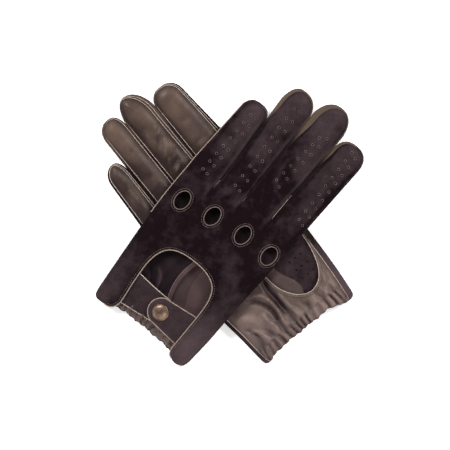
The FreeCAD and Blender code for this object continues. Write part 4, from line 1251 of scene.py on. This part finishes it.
def finish_stud(side):
    """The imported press-stud parts stay, in bronze."""
    for part in ("snap_socket", "snap_spring", "snap_stud", "snap_post"):
        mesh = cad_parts[f"{side}_{part}"].data
        mesh.materials.clear()
        mesh.materials.append(BRONZE)
        smooth_shaded(mesh, 40)


# --- seams

# how far the light cords at the left glove's finger roots run up between the fingers; each is a raw edge along
# the parting and also a painted highlight there
ROOT_CORDS = (9.0, 7.0, 26.0)
# an upper seam's outer cord is left out where the strip of wall beside it is narrower than this
STRIP_LEAST = 2.4


def taper(count, ends=9):
    """Fades a cord in and out over its first and last points."""
    at = np.minimum(np.arange(count), np.arange(count)[::-1]) / ends
    return 0.25 + 0.75 * np.clip(at, 0, 1)


def build_seams(side):
    """Raised raw edges where the panels meet the fourchettes and each other; on the left glove, pale cords
    along the finger partings and the outer edge are partly painted highlights.
    """
    top, low, middle = (OUTLINES[side, level] for level in ("top", "low", "middle"))
    upper, under = TOP_PANEL[side], UNDER_PANEL[side]
    cords = Build()
    if side == "right":
        for k, first in enumerate(STARTS[:4]):
            spans = [(APEXES[k] - 6, first + PER_FINGER)] + ([(first, first + SIDE_STEPS + 4)] if k else [])
            for start, end in spans:
                path = top[start:end]
                strip = middle[start:end] - path
                cords.tube(on_skin(side, upper, path, 0.12), CORD["seam"] * taper(len(path)), sides=7)
                if np.linalg.norm(strip, axis=1).mean() > STRIP_LEAST:
                    outer = place(side, path + strip * 0.45, skin(side, upper, path, -0.3))
                    cords.tube(outer, CORD["outer"] * taper(len(path)), sides=7)
    for web in WEBS:
        for first, last in WALLS[web]:
            cords.tube(on_skin(side, under, low[first:last + 1], 0.0), CORD["under"], sides=6)
    edge, panel = (top, upper) if side == "right" else (low, under)
    for first, last in WALLS["back"]:
        path = edge[first:last + 1]
        cords.tube(on_skin(side, panel, path, 0.05), CORD["side"] * taper(len(path)), sides=7)
    if side == "left":
        # pale cords up the finger partings: raw edges, and painted highlights along the crotches
        for web, reach in enumerate(ROOT_CORDS):
            u, s = finger_gap(side, web)
            path = resample(np.stack([u - 0.85, s], 1), 0.8)
            path = path[path[:, 1] < s[0] + reach]
            cords.tube(on_skin(side, upper, path, -0.05), CORD["root"] * taper(len(path)), sides=6)
        # a pale cord along the left glove's outer edge on the little-finger side: a raised edge, and a painted
        # highlight along it
        line = middle[40:HAND_STEPS + SIDE_STEPS + 4]
        height = drape(side, line[:, 1]) + WALL_MIDDLE + 0.4
        cords.tube(place(side, line, height), CORD["edge"], slot=1, sides=7)
    add_piece(side, "seam_edges", cords, [RAW_EDGE, PIPING], merge=0)


for glove in TURN:
    for build_part in (build_back, build_palm, build_fourchettes, build_thumb, build_edgings, build_strap,
                       build_tab, build_elastic, build_hem, build_cap, build_seams, build_thumb_seam,
                       finish_stud):
        build_part(glove)


# --- studio

FLOOR_HALF_M = 3.0
CAMERA_M, FIELD_M = 1.9, 0.36
# lamps: where, size and power
LAMPS = {
    "key": ((-0.9, 0.9, 1.5), 0.6, 32),
    "second": ((1.1, 0.8, 1.4), 0.55, 24),
    "front": ((0.1, -1.5, 1.5), 0.8, 12),
}


def link_new(name, data):
    obj = bpy.data.objects.new(name, data)
    bpy.context.collection.objects.link(obj)
    return obj


def build_studio():
    """A pale floor, a soft sky that is weaker overhead, three soft lamps, and the camera straight above."""
    paper = Nodes("pale_paper")
    mesh = bpy.data.meshes.new("floor_sheet")
    corners = [(x * FLOOR_HALF_M, y * FLOOR_HALF_M, 0) for x, y in ((-1, -1), (1, -1), (1, 1), (-1, 1))]
    mesh.from_pydata(corners, [], [(0, 1, 2, 3)])
    mesh.materials.append(paper.finish(Base_Color=srgb(250, 250, 250), Roughness=0.9, Specular_IOR_Level=0.1,
                                       Emission_Color=(1.0, 1.0, 1.0, 1.0), Emission_Strength=0.4))
    link_new("floor_sheet", mesh)

    world = bpy.data.worlds.new("studio")
    world.use_nodes = True
    nodes, links = world.node_tree.nodes, world.node_tree.links
    split, fade = nodes.new("ShaderNodeSeparateXYZ"), nodes.new("ShaderNodeMapRange")
    for key, value in (("From Min", 0.15), ("From Max", 0.9), ("To Min", 0.85), ("To Max", 0.12)):
        fade.inputs[key].default_value = value
    links.new(nodes.new("ShaderNodeTexCoord").outputs["Generated"], split.inputs[0])
    links.new(split.outputs["Z"], fade.inputs["Value"])
    links.new(fade.outputs["Result"], nodes["Background"].inputs["Strength"])
    nodes["Background"].inputs["Color"].default_value = (1.0, 1.0, 1.0, 1.0)
    bpy.context.scene.world = world

    for name, (where, size, power) in LAMPS.items():
        data = bpy.data.lights.new(name, "AREA")
        data.size = size
        data.energy = power
        lamp = link_new(name, data)
        lamp.location = where
        lamp.rotation_euler = (-Vector(where)).to_track_quat("-Z", "Y").to_euler()

    lens = bpy.data.cameras.new("camera")
    lens.angle = 2 * math.atan(FIELD_M / 2 / CAMERA_M)
    lens.clip_end = 20
    camera = link_new("camera", lens)
    camera.location = (PAIR_X * MM, 0, CAMERA_M)
    bpy.context.scene.camera = camera
    bpy.context.scene.view_settings.view_transform = "Standard"


build_studio()
